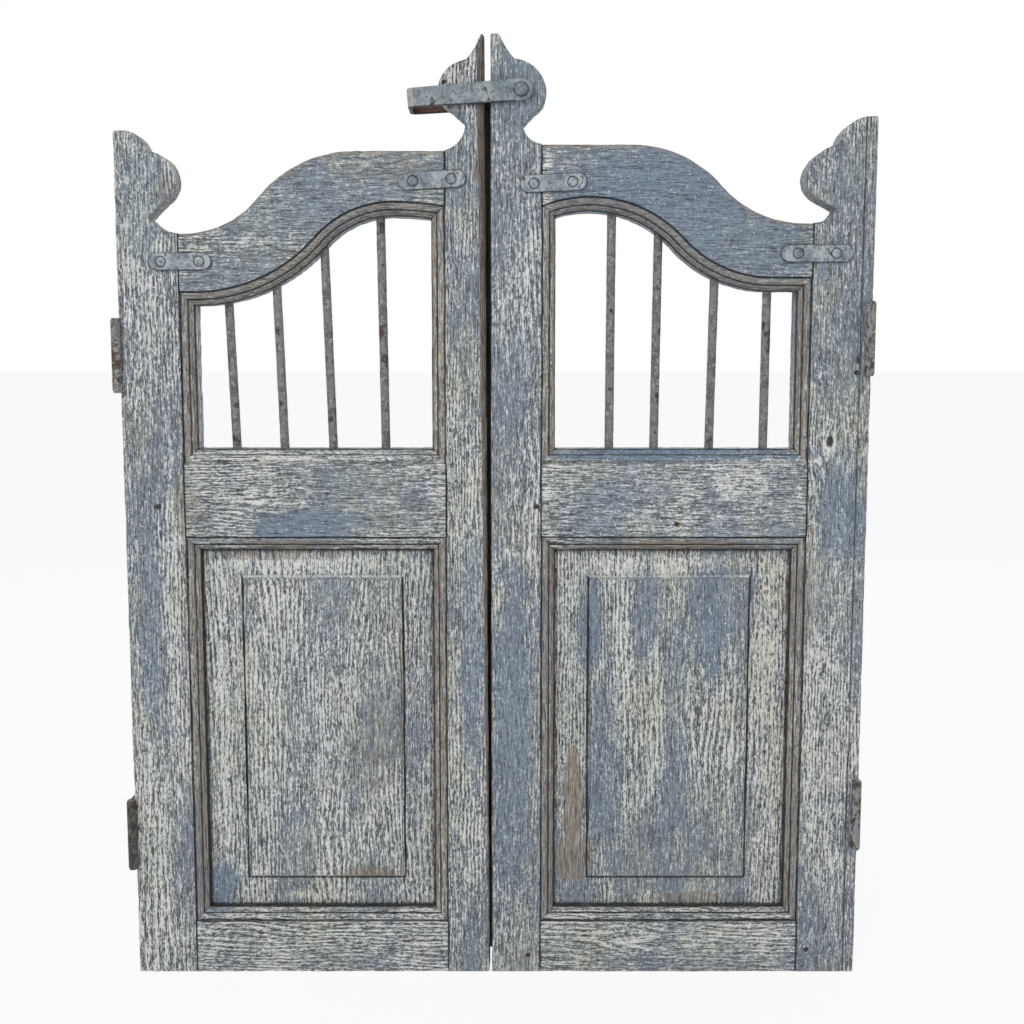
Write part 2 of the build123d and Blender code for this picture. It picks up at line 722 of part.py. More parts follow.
def hinge_plate(leaf, height, on_leaf):
    """One half of a hinge: a plate with every other knuckle, drilled for three screws."""
    side = 1 if on_leaf else -1
    near = leaf.axis_inset + side * hinge_plate_gap / 2
    far = near + side * hinge_plate_thickness
    flat = block(min(near, far), max(near, far), axis_y, front + hinge_plate_reach,
                 height - hinge_height / 2, height + hinge_height / 2)
    own = 0 if on_leaf else 1
    for index, (z_from, z_to) in enumerate(knuckle_bands(height)):
        if index % 2 != own:
            flat -= rod_z(leaf.axis_inset, axis_y, knuckle_radius + knuckle_relief,
                          z_from - knuckle_end_gap / 2, z_to + knuckle_end_gap / 2)
    for index, (z_from, z_to) in enumerate(knuckle_bands(height)):
        if index % 2 == own:
            low = z_from + (knuckle_end_gap / 2 if index else 0)
            high = z_to - (knuckle_end_gap / 2 if index < knuckle_count - 1 else 0)
            flat += rod_z(leaf.axis_inset, axis_y, knuckle_radius, low, high)
    flat -= rod_z(leaf.axis_inset, axis_y, hinge_pin_diameter / 2 + hinge_pin_clearance,
                  height - hinge_height, height + hinge_height)
    hole_radius = (hinge_screw_diameter if on_leaf else hinge_hole_diameter) / 2
    for z in hinge_screw_levels(height):
        flat -= rod_x(front + hinge_screw_setback, z, hole_radius,
                      leaf.axis_inset - hinge_height, leaf.axis_inset + hinge_height)
    return flat


def hinge_pin(leaf, height):
    """The pin through the knuckles, with a flat head above and a peened end below."""
    reach = hinge_height / 2
    radius = hinge_pin_diameter / 2
    shank = rod_z(leaf.axis_inset, axis_y, radius, height - reach, height + reach)
    button = knuckle_radius - 1.0
    head = rod_z(leaf.axis_inset, axis_y, button, height + reach,
                 height + reach + hinge_pin_head)
    foot = rod_z(leaf.axis_inset, axis_y, button, height - reach - hinge_pin_head,
                 height - reach)
    return shank + head + foot


def hinge_screws(leaf):
    """The screws that hold the hinge plates on the leaf, seated inside the closed hinge."""
    seat = leaf.axis_inset + hinge_plate_gap / 2
    depth = seat + hinge_plate_thickness
    screws = []
    for height in leaf.hinge_heights:
        for z in hinge_screw_levels(height):
            shank = rod_x(front + hinge_screw_setback, z, hinge_screw_diameter / 2,
                          seat, depth + hinge_screw_length)
            screws.append(shank)
    return screws


def latch_loop(pivot):
    """The latch, a flat bar bent into a U, with two eyes on the bolt."""
    inner = leaf_thickness / 2 + latch_side_clearance
    outer = inner + latch_bar_thickness
    plan = (Pos(-latch_reach / 2, 0) * Rectangle(latch_reach, 2 * outer))
    plan = fillet(plan.vertices().group_by(Axis.X)[0], latch_bend_radius)
    plan += Pos(latch_eye_height / 4, 0) * Rectangle(latch_eye_height / 2, 2 * outer)
    hollow = Pos(-latch_reach / 2 + latch_bar_thickness, 0) * Rectangle(latch_reach, 2 * inner)
    hollow = fillet(hollow.vertices().group_by(Axis.X)[0],
                    latch_bend_radius - latch_bar_thickness)
    hollow += Pos(latch_eye_height / 2, 0) * Rectangle(latch_eye_height + 4, 2 * inner)
    bent = extrude(Pos(0, 0, -latch_eye_height) * (plan - hollow), amount=2 * latch_eye_height)
    eye = latch_eye_height / 2
    bend = latch_bend_height / 2
    slope = asin((eye - bend) / latch_reach)
    shoulder = (eye * sin(-slope), eye * cos(slope))
    side = [Line((-latch_reach, -bend), (-latch_reach, bend)),
            Line((-latch_reach, bend), shoulder),
            ThreePointArc(shoulder, (eye, 0), (shoulder[0], -shoulder[1])),
            Line((shoulder[0], -shoulder[1]), (-latch_reach, -bend))]
    loop = bent & plate(side, -2 * outer, 2 * outer)
    loop -= rod_y(0, 0, latch_bolt_diameter / 2 + latch_bolt_clearance, -2 * outer, 2 * outer)
    return Pos(pivot[0], 0, pivot[1]) * Rot(0, -latch_tilt, 0) * loop


def latch_bolt(pivot):
    """The bolt that the loop turns on, with the same chamfered head on both sides."""
    seat = leaf_thickness / 2 + latch_side_clearance + latch_bar_thickness + latch_bolt_clearance
    shank = rod_y(pivot[0], pivot[1], latch_bolt_diameter / 2, -seat, seat)
    heads = []
    for side in (-1, 1):
        head = rod_y(pivot[0], pivot[1], latch_head_diameter / 2,
                     min(side * seat, side * (seat + latch_head_height)),
                     max(side * seat, side * (seat + latch_head_height)))
        rims = head.edges().filter_by(GeomType.CIRCLE).sort_by(Axis.Y)
        rim = rims[0] if side < 0 else rims[-1]
        heads.append(chamfer(rim, latch_head_height * 0.4))
    return shank + heads[0] + heads[1]


def strip_limits(leaf):
    """Where the cover strip starts and ends across the gap, from the leaf's hinge edge."""
    return leaf.width + meeting_gap + strip_overlap - strip_width, (
        leaf.width + meeting_gap + strip_overlap)


def strip_top(leaf, u):
    """Height of the strip's sloping top, parallel to the lower edge of the resting latch."""
    pivot_u = leaf.width - latch_bolt_setback
    slope = asin((latch_eye_height - latch_bend_height) / 2 / latch_reach)
    rise = radians(latch_tilt) - slope
    drop = (latch_eye_height / 2 + strip_latch_clearance) / cos(rise)
    return latch_bolt_height - drop - (u - pivot_u) * sin(rise) / cos(rise)


def cover_strip(leaf):
    """The lath that covers the gap from behind and stops the latch, relieved over the left leaf."""
    u_from, u_to = strip_limits(leaf)
    outline = polygon([(u_from, strip_foot), (u_to, strip_foot), (u_to, strip_top(leaf, u_to)),
                       (u_from, strip_top(leaf, u_from))])
    solid = plate(outline, back, back + strip_thickness)
    solid -= block(leaf.width + meeting_gap / 2, u_to + overshoot, back - overshoot,
                   back + strip_relief, 0, latch_bolt_height)
    for u, z in strip_nail_places(leaf):
        solid -= rod_y(u, z, nail_shank_diameter / 2 + shank_clearance, back - overshoot,
                       back + strip_thickness + overshoot)
    return solid


def strip_nail_places(leaf):
    """Nails of the cover strip, evenly spaced over its height."""
    u = (strip_limits(leaf)[0] + leaf.width) / 2
    low = strip_foot + strip_nail_end
    high = strip_top(leaf, u) - strip_nail_end
    step = (high - low) / (strip_nail_count - 1)
    return [(u, low + index * step) for index in range(strip_nail_count)]


def leaf_nodes(leaf):
    """Every node of one leaf, by name."""
    nodes = {
        "hinge_stile": hinge_stile(leaf),
        "meeting_stile": meeting_stile(leaf),
        "top_rail": top_rail(leaf),
        "lock_rail": straight_rail(leaf, "lock", panel_head_height, sill_height, True),
        "bottom_rail": straight_rail(leaf, "bottom", 0.0, panel_foot_height, False),
        "panel": panel(leaf),
        "hinge_strap": strap_plate(leaf.straps[0]),
        "meeting_strap": strap_plate(leaf.straps[1]),
        "strap_screws": [screw_y(u, z, front - strap_thickness)
                         for strap in leaf.straps for u, z in strap_holes(strap)],
        "nails": [nail_y(u, z, front) for u, z in leaf.nails],
        "hinge_screws": hinge_screws(leaf),
    }
    for number in range(len(leaf.bar_feet)):
        nodes[f"bar_{number + 1}"] = bar(leaf, number)
    for level, height in zip(("lower", "upper"), leaf.hinge_heights):
        nodes[f"{level}_hinge_leaf_plate"] = hinge_plate(leaf, height, True)
        nodes[f"{level}_hinge_frame_plate"] = hinge_plate(leaf, height, False)
        nodes[f"{level}_hinge_pin"] = hinge_pin(leaf, height)
    return {f"{leaf.name}_{name}": shape for name, shape in nodes.items()}


def write(name, shape):
    """Write one node, a single solid or a group of separate ones."""
    if isinstance(shape, list):
        shape = Compound(children=shape)
    export_step(shape, f"parts/{name}.step")


def main():
    """Build the pair and write one file for each node."""
    os.makedirs("parts", exist_ok=True)
    for leaf in (left, right):
        for name, shape in leaf_nodes(leaf).items():
            if isinstance(shape, list):
                write(name, [place(solid, leaf) for solid in shape])
            else:
                write(name, place(shape, leaf))
    pivot = (right_edge_x - (right.width - latch_bolt_setback), latch_bolt_height)
    write("latch_loop", latch_loop(pivot))
    write("latch_bolt", latch_bolt(pivot))
    write("cover_strip", place(cover_strip(right), right))
    write("cover_strip_nails", [place(nail_y(u, z, back + strip_thickness, -1), right)
                                for u, z in strip_nail_places(right)])


main()
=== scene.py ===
"""Dresses a latched pair of old painted cafe door leaves: weathered timber, iron bars and fittings.

Every surface is worked out in millimetres in the model's own frame and turned to metres when its
mesh is made. u runs along a leaf from its hinge edge, z is up, y goes from front to back.
"""

import logging
import math
from dataclasses import dataclass, field
from enum import Enum
from typing import Optional

import bpy
import numpy as np
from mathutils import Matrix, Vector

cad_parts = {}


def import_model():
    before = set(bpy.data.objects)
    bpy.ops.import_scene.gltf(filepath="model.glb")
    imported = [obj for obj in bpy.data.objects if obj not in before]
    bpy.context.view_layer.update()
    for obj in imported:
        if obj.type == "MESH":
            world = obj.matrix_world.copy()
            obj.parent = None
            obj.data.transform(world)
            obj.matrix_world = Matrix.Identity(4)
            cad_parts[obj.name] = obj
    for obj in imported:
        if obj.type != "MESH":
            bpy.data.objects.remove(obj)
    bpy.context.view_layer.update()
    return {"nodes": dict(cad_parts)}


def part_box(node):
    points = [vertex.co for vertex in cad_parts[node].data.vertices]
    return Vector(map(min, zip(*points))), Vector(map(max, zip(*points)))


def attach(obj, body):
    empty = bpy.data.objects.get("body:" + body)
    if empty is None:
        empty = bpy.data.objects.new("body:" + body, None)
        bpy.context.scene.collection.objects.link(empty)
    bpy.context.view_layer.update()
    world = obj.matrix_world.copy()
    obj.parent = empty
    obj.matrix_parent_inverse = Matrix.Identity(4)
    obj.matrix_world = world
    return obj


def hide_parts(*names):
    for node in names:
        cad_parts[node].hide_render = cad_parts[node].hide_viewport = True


log = logging.getLogger("door_leaves")

METRES = 0.001
FRONT, BACK = -19.0, 19.0  # faces of the planks, in y
STEP = -7.0  # back of the stiles' and rails' front layer, in y
MOULDING = 16.0  # width of the moulding round each opening
PANEL_FOOT, PANEL_HEAD, SILL = 79.0, 508.0, 625.0  # edges of the openings, in z
PIVOT = (31.5, 1023.0)  # the latch bolt, in x and z
NAIL_RADIUS = 3.25
WHITE = (1.0, 1.0, 1.0, 1.0)
JOINT_GAP = 0.1  # between a rail's end and the stile
# Distance from the opening's edge and depth below the face, across the worn bead moulding.
MOULDING_ACROSS = np.array([16.0, 15.9, 14.8, 13.9, 12.6, 11.0, 9.4, 8.0, 7.3, 6.6, 5.2, 3.5, 3.2, 0.0])
MOULDING_DEEP = np.array([0.0, 2.7, 2.7, 1.3, 1.05, 1.2, 1.75, 2.7, 4.2, 3.7, 4.5, 5.5, 7.1, 7.1])


class Grain(Enum):
    """Which way the fibres of a board run."""
    UPRIGHT = "upright"
    LEVEL = "level"


class Mark(Enum):
    """What an old surface shows in one place."""
    CREAM = "cream"
    BARE = "bare"
    DARK = "dark"
    CHALK = "chalk_and_highlight"
    SOUND = "sound"


@dataclass(frozen=True)
class Patch:
    """A worn place on the front, as an ellipse in x and z, in millimetres."""
    mark: Mark
    x: float
    z: float
    half_width: float
    half_height: float
    strength: float = 1.0


@dataclass(frozen=True)
class Knot:
    """A knot that the grain runs round, in x and z, in millimetres."""
    x: float
    z: float
    radius: float


@dataclass(frozen=True)
class Crack:
    """A drying crack along the grain, from one point of x and z to another, in millimetres."""
    x_from: float
    z_from: float
    x_to: float
    z_to: float
    width: float = 0.8


# Where each mark shows: x, z, half width, half height and strength.
WORN_PLACES = {
    Mark.SOUND: ((190, 900, 130, 60, 0.9), (300, 840, 70, 40, 0.7), (-190, 890, 110, 45, 0.5),
        (-395, 900, 26, 70, 0.55), (-24, 390, 16, 150, 0.7), (22, 300, 22, 190, 0.75),
        (255, 430, 20, 75, 0.7), (176, 440, 16, 60, 0.6), (214, 300, 14, 110, 0.5), (112, 420, 14, 60, 0.8),
        (-220, 535, 55, 20, 0.9), (395, 555, 26, 60, 0.8), (-398, 400, 14, 120, 0.6),
        (130, 250, 22, 110, 0.6), (130, 560, 40, 30, 0.5), (20, 700, 22, 70, 0.4), (35, 1030, 40, 50, 0.5),
        (-40, 950, 24, 60, 0.5), (-325, 100, 22, 26, 0.9), (220, 618, 140, 7, 1.2)),
    Mark.CREAM: ((320, 400, 17, 125, 0.56), (330, 250, 17, 110, 0.52), (230, 494, 90, 10, 0.5),
        (325, 488, 22, 16, 0.6), (-235, 240, 26, 60, 0.35), (-310, 420, 10, 60, 0.4),
        (-205, 91, 60, 7, 0.55), (300, 45, 40, 14, 0.3)),
    Mark.BARE: ((94, 200, 12, 80, 1.0), (93, 140, 22, 30, 0.8), (-150, 260, 30, 70, 0.45),
        (-221, 515, 100, 6, 0.7), (210, 514, 110, 6, 0.8), (-245, 500, 80, 7, 0.6),
        (-350, 560, 22, 40, 0.5), (-50, 400, 9, 170, 0.45), (-357, 330, 9, 200, 0.42),
        (368, 455, 9, 90, 0.5), (52, 250, 8, 200, 0.35), (-120, 330, 16, 130, 0.42),
        (-290, 935, 120, 12, 0.3), (-100, 935, 90, 14, 0.4), (-380, 740, 20, 90, 0.35),
        (395, 240, 16, 120, 0.35), (-150, 120, 40, 10, 0.7), (-333, 700, 8, 60, 0.5),
        (-366, 910, 14, 20, 0.5), (228, 88, 60, 8, 0.6), (345, 60, 40, 22, 0.3), (27, 560, 18, 60, 0.35),
        (-60, 640, 14, 90, 0.3)),
    Mark.DARK: ((384, 633, 4, 7, 0.8), (-386, 559, 4, 4, 0.7), (413, 726, 3, 7, 0.6), (27, 585, 3, 6, 0.5),
        (-54, 1032, 2.6, 2.2, 1.0)),
    Mark.CHALK: ((-221, 491, 90, 13, 1.5), (170, 488, 80, 12, 1.3), (-318, 320, 9, 160, 0.9),
        (372, 330, 9, 220, 0.8), (-371, 420, 7, 260, 0.8), (60, 800, 9, 160, 0.7), (300, 612, 90, 10, 0.9),
        (-220, 617, 120, 8, 1.0), (-60, 700, 8, 120, 0.8), (285, 586, 42, 14, 1.4), (268, 580, 12, 12, 1.6),
        (-395, 850, 24, 130, 0.5), (25, 830, 24, 120, 0.5), (150, 380, 10, 110, 0.6),
        (188, 300, 9, 130, 0.6), (274, 330, 8, 120, 0.5), (398, 480, 7, 110, 0.6),
        (200, 570, 150, 44, 0.55), (400, 300, 18, 260, 0.4), (-250, 330, 90, 170, 0.3),
        (-400, 200, 18, 220, 0.4), (250, 40, 120, 22, 0.35), (-20, 420, 14, 200, 0.35)),
}
PATCHES = tuple(Patch(mark, *place) for mark, places in WORN_PLACES.items() for place in places)
KNOTS = tuple(Knot(*place) for place in ((384, 633, 9), (-203, 138, 8), (27, 585, 7), (-386, 640, 8),
    (150, 545, 10), (-140, 335, 12), (-178, 150, 9), (400, 120, 9), (235, 330, 8), (-250, 560, 9),
    (-45, 860, 7), (18, 200, 8), (-160, 420, 10), (190, 40, 8), (-300, 40, 9)))
CRACKS = tuple(Crack(*place) for place in ((-218, 134, -208, 82, 1.2), (-150, 118, -149, 92, 1.0),
    (-98, 130, -99, 88, 1.0), (345, 42, 352, 8, 1.2), (-389, 110, -391, 2, 0.9), (25, 120, 27, 2, 0.9),
    (-30, 90, -28, 2, 0.8), (176, 470, 175, 360, 0.9), (-260, 480, -262, 395, 0.7),
    (402, 520, 404, 440, 0.8), (-225, 890, -160, 905, 0.8), (150, 905, 230, 898, 0.8),
    (330, 838, 390, 835, 0.7), (-300, 590, -200, 588, 0.7), (110, 570, 200, 567, 0.7)))


def linear(code: str) -> tuple[float, float, float, float]:
    """Turn an sRGB hex colour into the linear values that the shaders take.

    Args:
        code: six hex digits after a hash.

    Returns:
        Red, green, blue and an alpha of one.
    """
    parts = [int(code[i:i + 2], 16) / 255 for i in (1, 3, 5)]
    bright = [c / 12.92 if c <= 0.04045 else ((c + 0.055) / 1.055) ** 2.4 for c in parts]
    return bright[0], bright[1], bright[2], 1.0


def bump(place: np.ndarray, width: float = 1.0) -> np.ndarray:
    """A soft line where a place is zero: e to the minus square of the place over the width.

    Args:
        place: distance from the line's middle.
        width: distance at which a third of the line is left.

    Returns:
        Values from 0 to 1.
    """
    return np.exp(-(place / width) ** 2)


def eased(share: np.ndarray) -> np.ndarray:
    """Ease a share from 0 to 1 by 3t squared less 2t cubed.

    Args:
        share: values, held within 0 and 1.

    Returns:
        The eased values.
    """
    t = np.clip(share, 0, 1)
    return t * t * (3 - 2 * t)


class Lattice:
    """Smooth seeded noise: random values on a grid, blended with an eased step between them."""

    def __init__(self, seed: int) -> None:
        """Draw the values.

        Args:
            seed: fixes the pattern.
        """
        self.values = np.random.default_rng(seed).random((256, 256))

    def at(self, a: np.ndarray, b: np.ndarray) -> np.ndarray:
        """Read the noise, from 0 to 1, where a and b are counted in cells.

        Args:
            a: first coordinate.
            b: second coordinate.

        Returns:
            One value for each pair.
        """
        low_a, low_b = np.floor(a).astype(int), np.floor(b).astype(int)
        part_a, part_b = eased(a - low_a), eased(b - low_b)
        i, j = low_a & 255, low_b & 255
        k, m = (i + 1) & 255, (j + 1) & 255
        near = self.values[i, j] * (1 - part_b) + self.values[i, m] * part_b
        far = self.values[k, j] * (1 - part_b) + self.values[k, m] * part_b
        return near * (1 - part_a) + far * part_a

    def cloud(self, a: np.ndarray, b: np.ndarray, octaves: int = 3) -> np.ndarray:
        """Add up octaves of the noise, each twice as fine and half as strong, scaled to 0 to 1.

        Args:
            a: first coordinate.
            b: second coordinate.
            octaves: how many are added.

        Returns:
            One value for each pair.
        """
        total, weight = np.zeros(np.broadcast(a, b).shape), 0.0
        for step in range(octaves):
            share = 0.5 ** step
            total = total + share * self.at(a * 2 ** step + 17 * step, b * 2 ** step + 31 * step)
            weight += share
        return total / weight


@dataclass
class Relief:
    """The weathered face of one board: raised fibres, knots and cracks."""
    seed: int
    grain: Grain
    depth: float = 0.55
    wear: float = 0.55
    pitch: float = 6.2
    ring_slant: float = 1.05
    board_shift: float = 0.37

    def fields(self, x: np.ndarray, y: np.ndarray, z: np.ndarray) -> dict[str, np.ndarray]:
        """Work out the relief and the wear at points of the board.

        The growth rings are the sine of the distance across the grain over the ring's pitch.
        Knots push the rings apart, and three noises stretched along the grain bend them. The soft
        early wood between the crests has worn to furrows, more so where a cloud of wear is high.

        Args:
            x: place along the doorway.
            y: depth.
            z: height.

        Returns:
            Arrays named worn, ridge and furrow, and one named after each mark.
        """
        across, along = (x, z) if self.grain is Grain.UPRIGHT else (z, x)
        bend, core = self.knotted(across, along)
        across = across + self.ring_slant * y + self.board_shift * self.seed
        slow, wavy = Lattice(self.seed + 1), Lattice(self.seed + 2)
        line = Lattice(self.seed + 3)
        warped = (across + bend + 34.0 * (slow.at(across / 85, along / 330) - 0.5)
                  + 7.0 * (wavy.at(across / 26, along / 80) - 0.5)
                  + 2.2 * (line.at(across / 9, along / 24) - 0.5))
        crest = 0.5 + 0.5 * np.sin(2 * np.pi * warped / self.pitch)
        crest = crest * (0.7 + 0.3 * line.at(warped / 2.4, along / 70))
        worn = slow.cloud(across / 48 + 3, along / 150 + 11)
        worn = np.clip((worn - 0.5) * 2.6 + self.wear, 0, 1)
        furrow = np.clip(1 - 1.5 * crest, 0, 1) * (0.35 + 0.65 * worn)
        furrow = np.maximum(np.maximum(furrow, core * 0.7), self.cracked(x, z, wavy) * (y < STEP))
        fields = {mark.value: patched * (y < 0.0) for mark, patched in self.patched(x, z, wavy).items()}
        worn = worn * (1 - 0.85 * fields["sound"])
        fields["worn"] = worn
        fields["ridge"] = 0.5 + (crest - 0.45) * (0.25 + 0.75 * worn)
        fields["furrow"] = furrow * (1 - 0.6 * fields["sound"])
        return fields

    def knotted(self, across: np.ndarray, along: np.ndarray) -> tuple[np.ndarray, np.ndarray]:
        """How far the knots push the rings aside, and the dark heart of each knot.

        Args:
            across: place across the grain.
            along: place along the grain.

        Returns:
            The push in millimetres, and the hearts from 0 to 1.
        """
        bend, core = np.zeros(across.shape), np.zeros(across.shape)
        for knot in KNOTS:
            middle = (knot.x, knot.z) if self.grain is Grain.UPRIGHT else (knot.z, knot.x)
            off, far = across - middle[0], along - middle[1]
            bend = bend - off * 0.72 * bump(np.hypot(off / 2.6, far / 6.0), knot.radius)
            core = np.maximum(core, bump(np.hypot(off, far * 0.55), knot.radius * 0.33))
        return bend, core

    def cracked(self, x: np.ndarray, z: np.ndarray, wavy: Lattice) -> np.ndarray:
        """How deep the drying cracks along this board's grain are.

        A crack's depth is a soft line round the straight between its ends, a little wavy, and
        widest in the middle.

        Args:
            x: place along the doorway.
            z: height.
            wavy: the noise that bends the cracks.

        Returns:
            Depth, where a furrow's is 1.
        """
        depth = np.zeros(x.shape)
        for crack in CRACKS:
            run_x, run_z = crack.x_to - crack.x_from, crack.z_to - crack.z_from
            upright = abs(run_z) > abs(run_x)
            if upright != (self.grain is Grain.UPRIGHT):
                continue
            length = math.hypot(run_x, run_z)
            share = np.clip(((x - crack.x_from) * run_x + (z - crack.z_from) * run_z) / length ** 2, 0, 1)
            sway = wavy.at((z if upright else x) / 9, share) - 0.5
            gap = np.hypot(x - crack.x_from - share * run_x + 0.8 * sway, z - crack.z_from - share * run_z)
            open_width = crack.width * (0.35 + 0.65 * np.sin(np.pi * np.clip(share, 0.05, 0.95)))
            depth = np.maximum(depth, 1.7 * bump(gap, open_width))
        return depth

    @staticmethod
    def patched(x: np.ndarray, z: np.ndarray, wavy: Lattice) -> dict[Mark, np.ndarray]:
        """How much of each mark shows, from the ellipses of its patches with ragged edges.

        Args:
            x: place along the doorway.
            z: height.
            wavy: the noise that frays the edges.

        Returns:
            One array for each mark.
        """
        ragged = 1.3 * (wavy.cloud(x / 9 + 3, z / 14 + 7) - 0.5)
        shown = {mark: np.zeros(x.shape) for mark in Mark}
        for patch in PATCHES:
            reach = ((x - patch.x) / patch.half_width) ** 2 + ((z - patch.z) / patch.half_height) ** 2
            here = patch.strength * eased(1.25 - 0.75 * reach + ragged)
            shown[patch.mark] = np.maximum(shown[patch.mark], here)
        return shown


def outlines(chain: list[tuple]) -> np.ndarray:
    """Stack a chain of corners, each two coordinates of all rows or of one, into outlines.

    Args:
        chain: corners in order.

    Returns:
        Rows by corners by two coordinates.
    """
    return np.stack([np.stack(np.broadcast_arrays(a, b), axis=1) for a, b in chain], axis=1)


def rounded_loops(corners: np.ndarray, radii: np.ndarray,
                  spans: np.ndarray) -> tuple[np.ndarray, np.ndarray]:
    """Round the corners of many closed outlines at once and divide the straights between them.

    A rounded corner is a quadratic curve whose ends lie its radius from the corner, or less than
    half of the side. A corner with no radius stays one point.

    Args:
        corners: outlines, corners and two coordinates.
        radii: one radius for each corner.
        spans: parts of the side after each corner.

    Returns:
        Outlines, points and two coordinates, and how close each point is to a rounded corner.
    """
    before, after = np.roll(corners, 1, axis=1), np.roll(corners, -1, axis=1)
    to_before, to_after = before - corners, after - corners
    len_before = np.linalg.norm(to_before, axis=2, keepdims=True) + 1e-9
    len_after = np.linalg.norm(to_after, axis=2, keepdims=True) + 1e-9
    size = radii[None, :, None]
    start = corners + to_before / len_before * np.minimum(size, 0.45 * len_before)
    end = corners + to_after / len_after * np.minimum(size, 0.45 * len_after)
    next_start = np.roll(start, -1, axis=1)
    points, arris = [], []
    for k in range(corners.shape[1]):
        shares = np.linspace(0, 1, 4) if radii[k] > 0 else np.array([0.5])
        for t in shares:
            points.append((1 - t) ** 2 * start[:, k] + 2 * t * (1 - t) * corners[:, k]
                          + t ** 2 * end[:, k])
            arris.append(np.full(corners.shape[0], 1.0 if radii[k] > 0 else 0.0))
        side = np.linalg.norm(next_start[:, k] - end[:, k], axis=1)
        next_round = float(radii[(k + 1) % corners.shape[1]] > 0)
        for t in np.linspace(0, 1, int(spans[k]) + 1)[1:-1]:
            points.append((1 - t) * end[:, k] + t * next_start[:, k])
            here = np.exp(-t * side / 3.0) * float(radii[k] > 0)
            arris.append(np.maximum(here, np.exp(-(1 - t) * side / 3.0) * next_round))
    return np.stack(points, axis=1), np.stack(arris, axis=1)


@dataclass
class Shell:
    """A closed surface over a grid: rows of closed loops with a flat cap at each end."""
    name: str
    points: np.ndarray
    attributes: dict[str, np.ndarray] = field(default_factory=dict)

    def outward(self) -> np.ndarray:
        """Unit normals, from the cross product of the grid's two directions, turned outwards.

        Returns:
            One normal for each grid point.
        """
        along = np.gradient(self.points, axis=0)
        around = np.roll(self.points, -1, axis=1) - np.roll(self.points, 1, axis=1)
        normal = np.cross(around, along)
        normal /= np.linalg.norm(normal, axis=2, keepdims=True) + 1e-9
        return normal * (1.0 if self.volume() > 0 else -1.0)

    def quads(self) -> np.ndarray:
        """Corners of the quads of the grid, which closes round each loop.

        Returns:
            Four point numbers a row.
        """
        rows, columns = self.points.shape[:2]
        row, column = np.meshgrid(np.arange(rows - 1), np.arange(columns), indexing="ij")
        right = (column + 1) % columns
        return np.stack([row * columns + column, row * columns + right,
                         (row + 1) * columns + right, (row + 1) * columns + column], axis=2).reshape(-1, 4)

    def volume(self) -> float:
        """Add up the tetrahedra under the quads, which is positive where they face outwards.

        Returns:
            Six times the signed volume.
        """
        flat = self.points.reshape(-1, 3) - self.points.reshape(-1, 3).mean(axis=0)
        a, b, c, d = (flat[self.quads()[:, k]] for k in range(4))
        body = np.einsum("ij,ij->i", a, np.cross(b, c)) + np.einsum("ij,ij->i", a, np.cross(c, d))
        return float(body.sum())

    def carve(self, depth: np.ndarray) -> None:
        """Move each point inwards along its normal.

        Args:
            depth: how far, in millimetres.
        """
        self.points = self.points - self.outward() * depth[..., None]

    def build(self) -> bpy.types.Object:
        """Make the mesh object, in metres, with its attributes and smooth faces.

        Returns:
            The object, linked to the scene.
        """
        rows, columns = self.points.shape[:2]
        quads = self.quads()
        outward = self.volume() > 0
        caps = [np.arange(columns)[::-1], (rows - 1) * columns + np.arange(columns)]
        if not outward:
            quads, caps = quads[:, ::-1], [cap[::-1] for cap in caps]
        return make_mesh(self.name, self.points.reshape(-1, 3), quads, caps,
                         {key: value.reshape(-1) for key, value in self.attributes.items()})


def make_mesh(name: str, points: np.ndarray, quads: np.ndarray, caps: list[np.ndarray],
              attributes: dict[str, np.ndarray]) -> bpy.types.Object:
    """Put points and faces into a new mesh object.

    Args:
        name: the piece's name.
        points: places in millimetres.
        quads: four corners a row.
        caps: larger flat faces.
        attributes: one number for each point, by name.

    Returns:
        The object, linked to the scene, at the origin.
    """
    loops = np.concatenate([quads.ravel()] + [np.asarray(cap) for cap in caps]).astype(np.int32)
    totals = np.concatenate([np.full(len(quads), 4), [len(cap) for cap in caps]]).astype(np.int32)
    starts = np.concatenate([[0], np.cumsum(totals)[:-1]]).astype(np.int32)
    mesh = bpy.data.meshes.new(name)
    mesh.vertices.add(len(points))
    mesh.vertices.foreach_set("co", (points * METRES).astype(np.float32).ravel())
    mesh.loops.add(len(loops))
    mesh.loops.foreach_set("vertex_index", loops)
    mesh.polygons.add(len(totals))
    mesh.polygons.foreach_set("loop_start", starts)
    mesh.polygons.foreach_set("use_smooth", totals == 4)
    mesh.update(calc_edges=True)
    for key, values in attributes.items():
        layer = mesh.attributes.new(key, "FLOAT", "POINT")
        layer.data.foreach_set("value", values.astype(np.float32))
    piece = bpy.data.objects.new(name, mesh)
    bpy.context.scene.collection.objects.link(piece)
    return piece


def add_node(tree: bpy.types.NodeTree, kind: str, inputs: Optional[dict] = None,
             **settings: object) -> bpy.types.Node:
    """Add one node, set it up and link it.

    Args:
        tree: the material's tree.
        kind: the node's type name.
        inputs: values, or sockets to link, by input name or number.
        settings: the node's own properties.

    Returns:
        The node.
    """
    node = tree.nodes.new(kind)
    for key, value in settings.items():
        setattr(node, key, value)
    for key, value in (inputs or {}).items():
        if isinstance(value, bpy.types.NodeSocket):
            tree.links.new(value, node.inputs[key])
        else:
            node.inputs[key].default_value = value
    return node


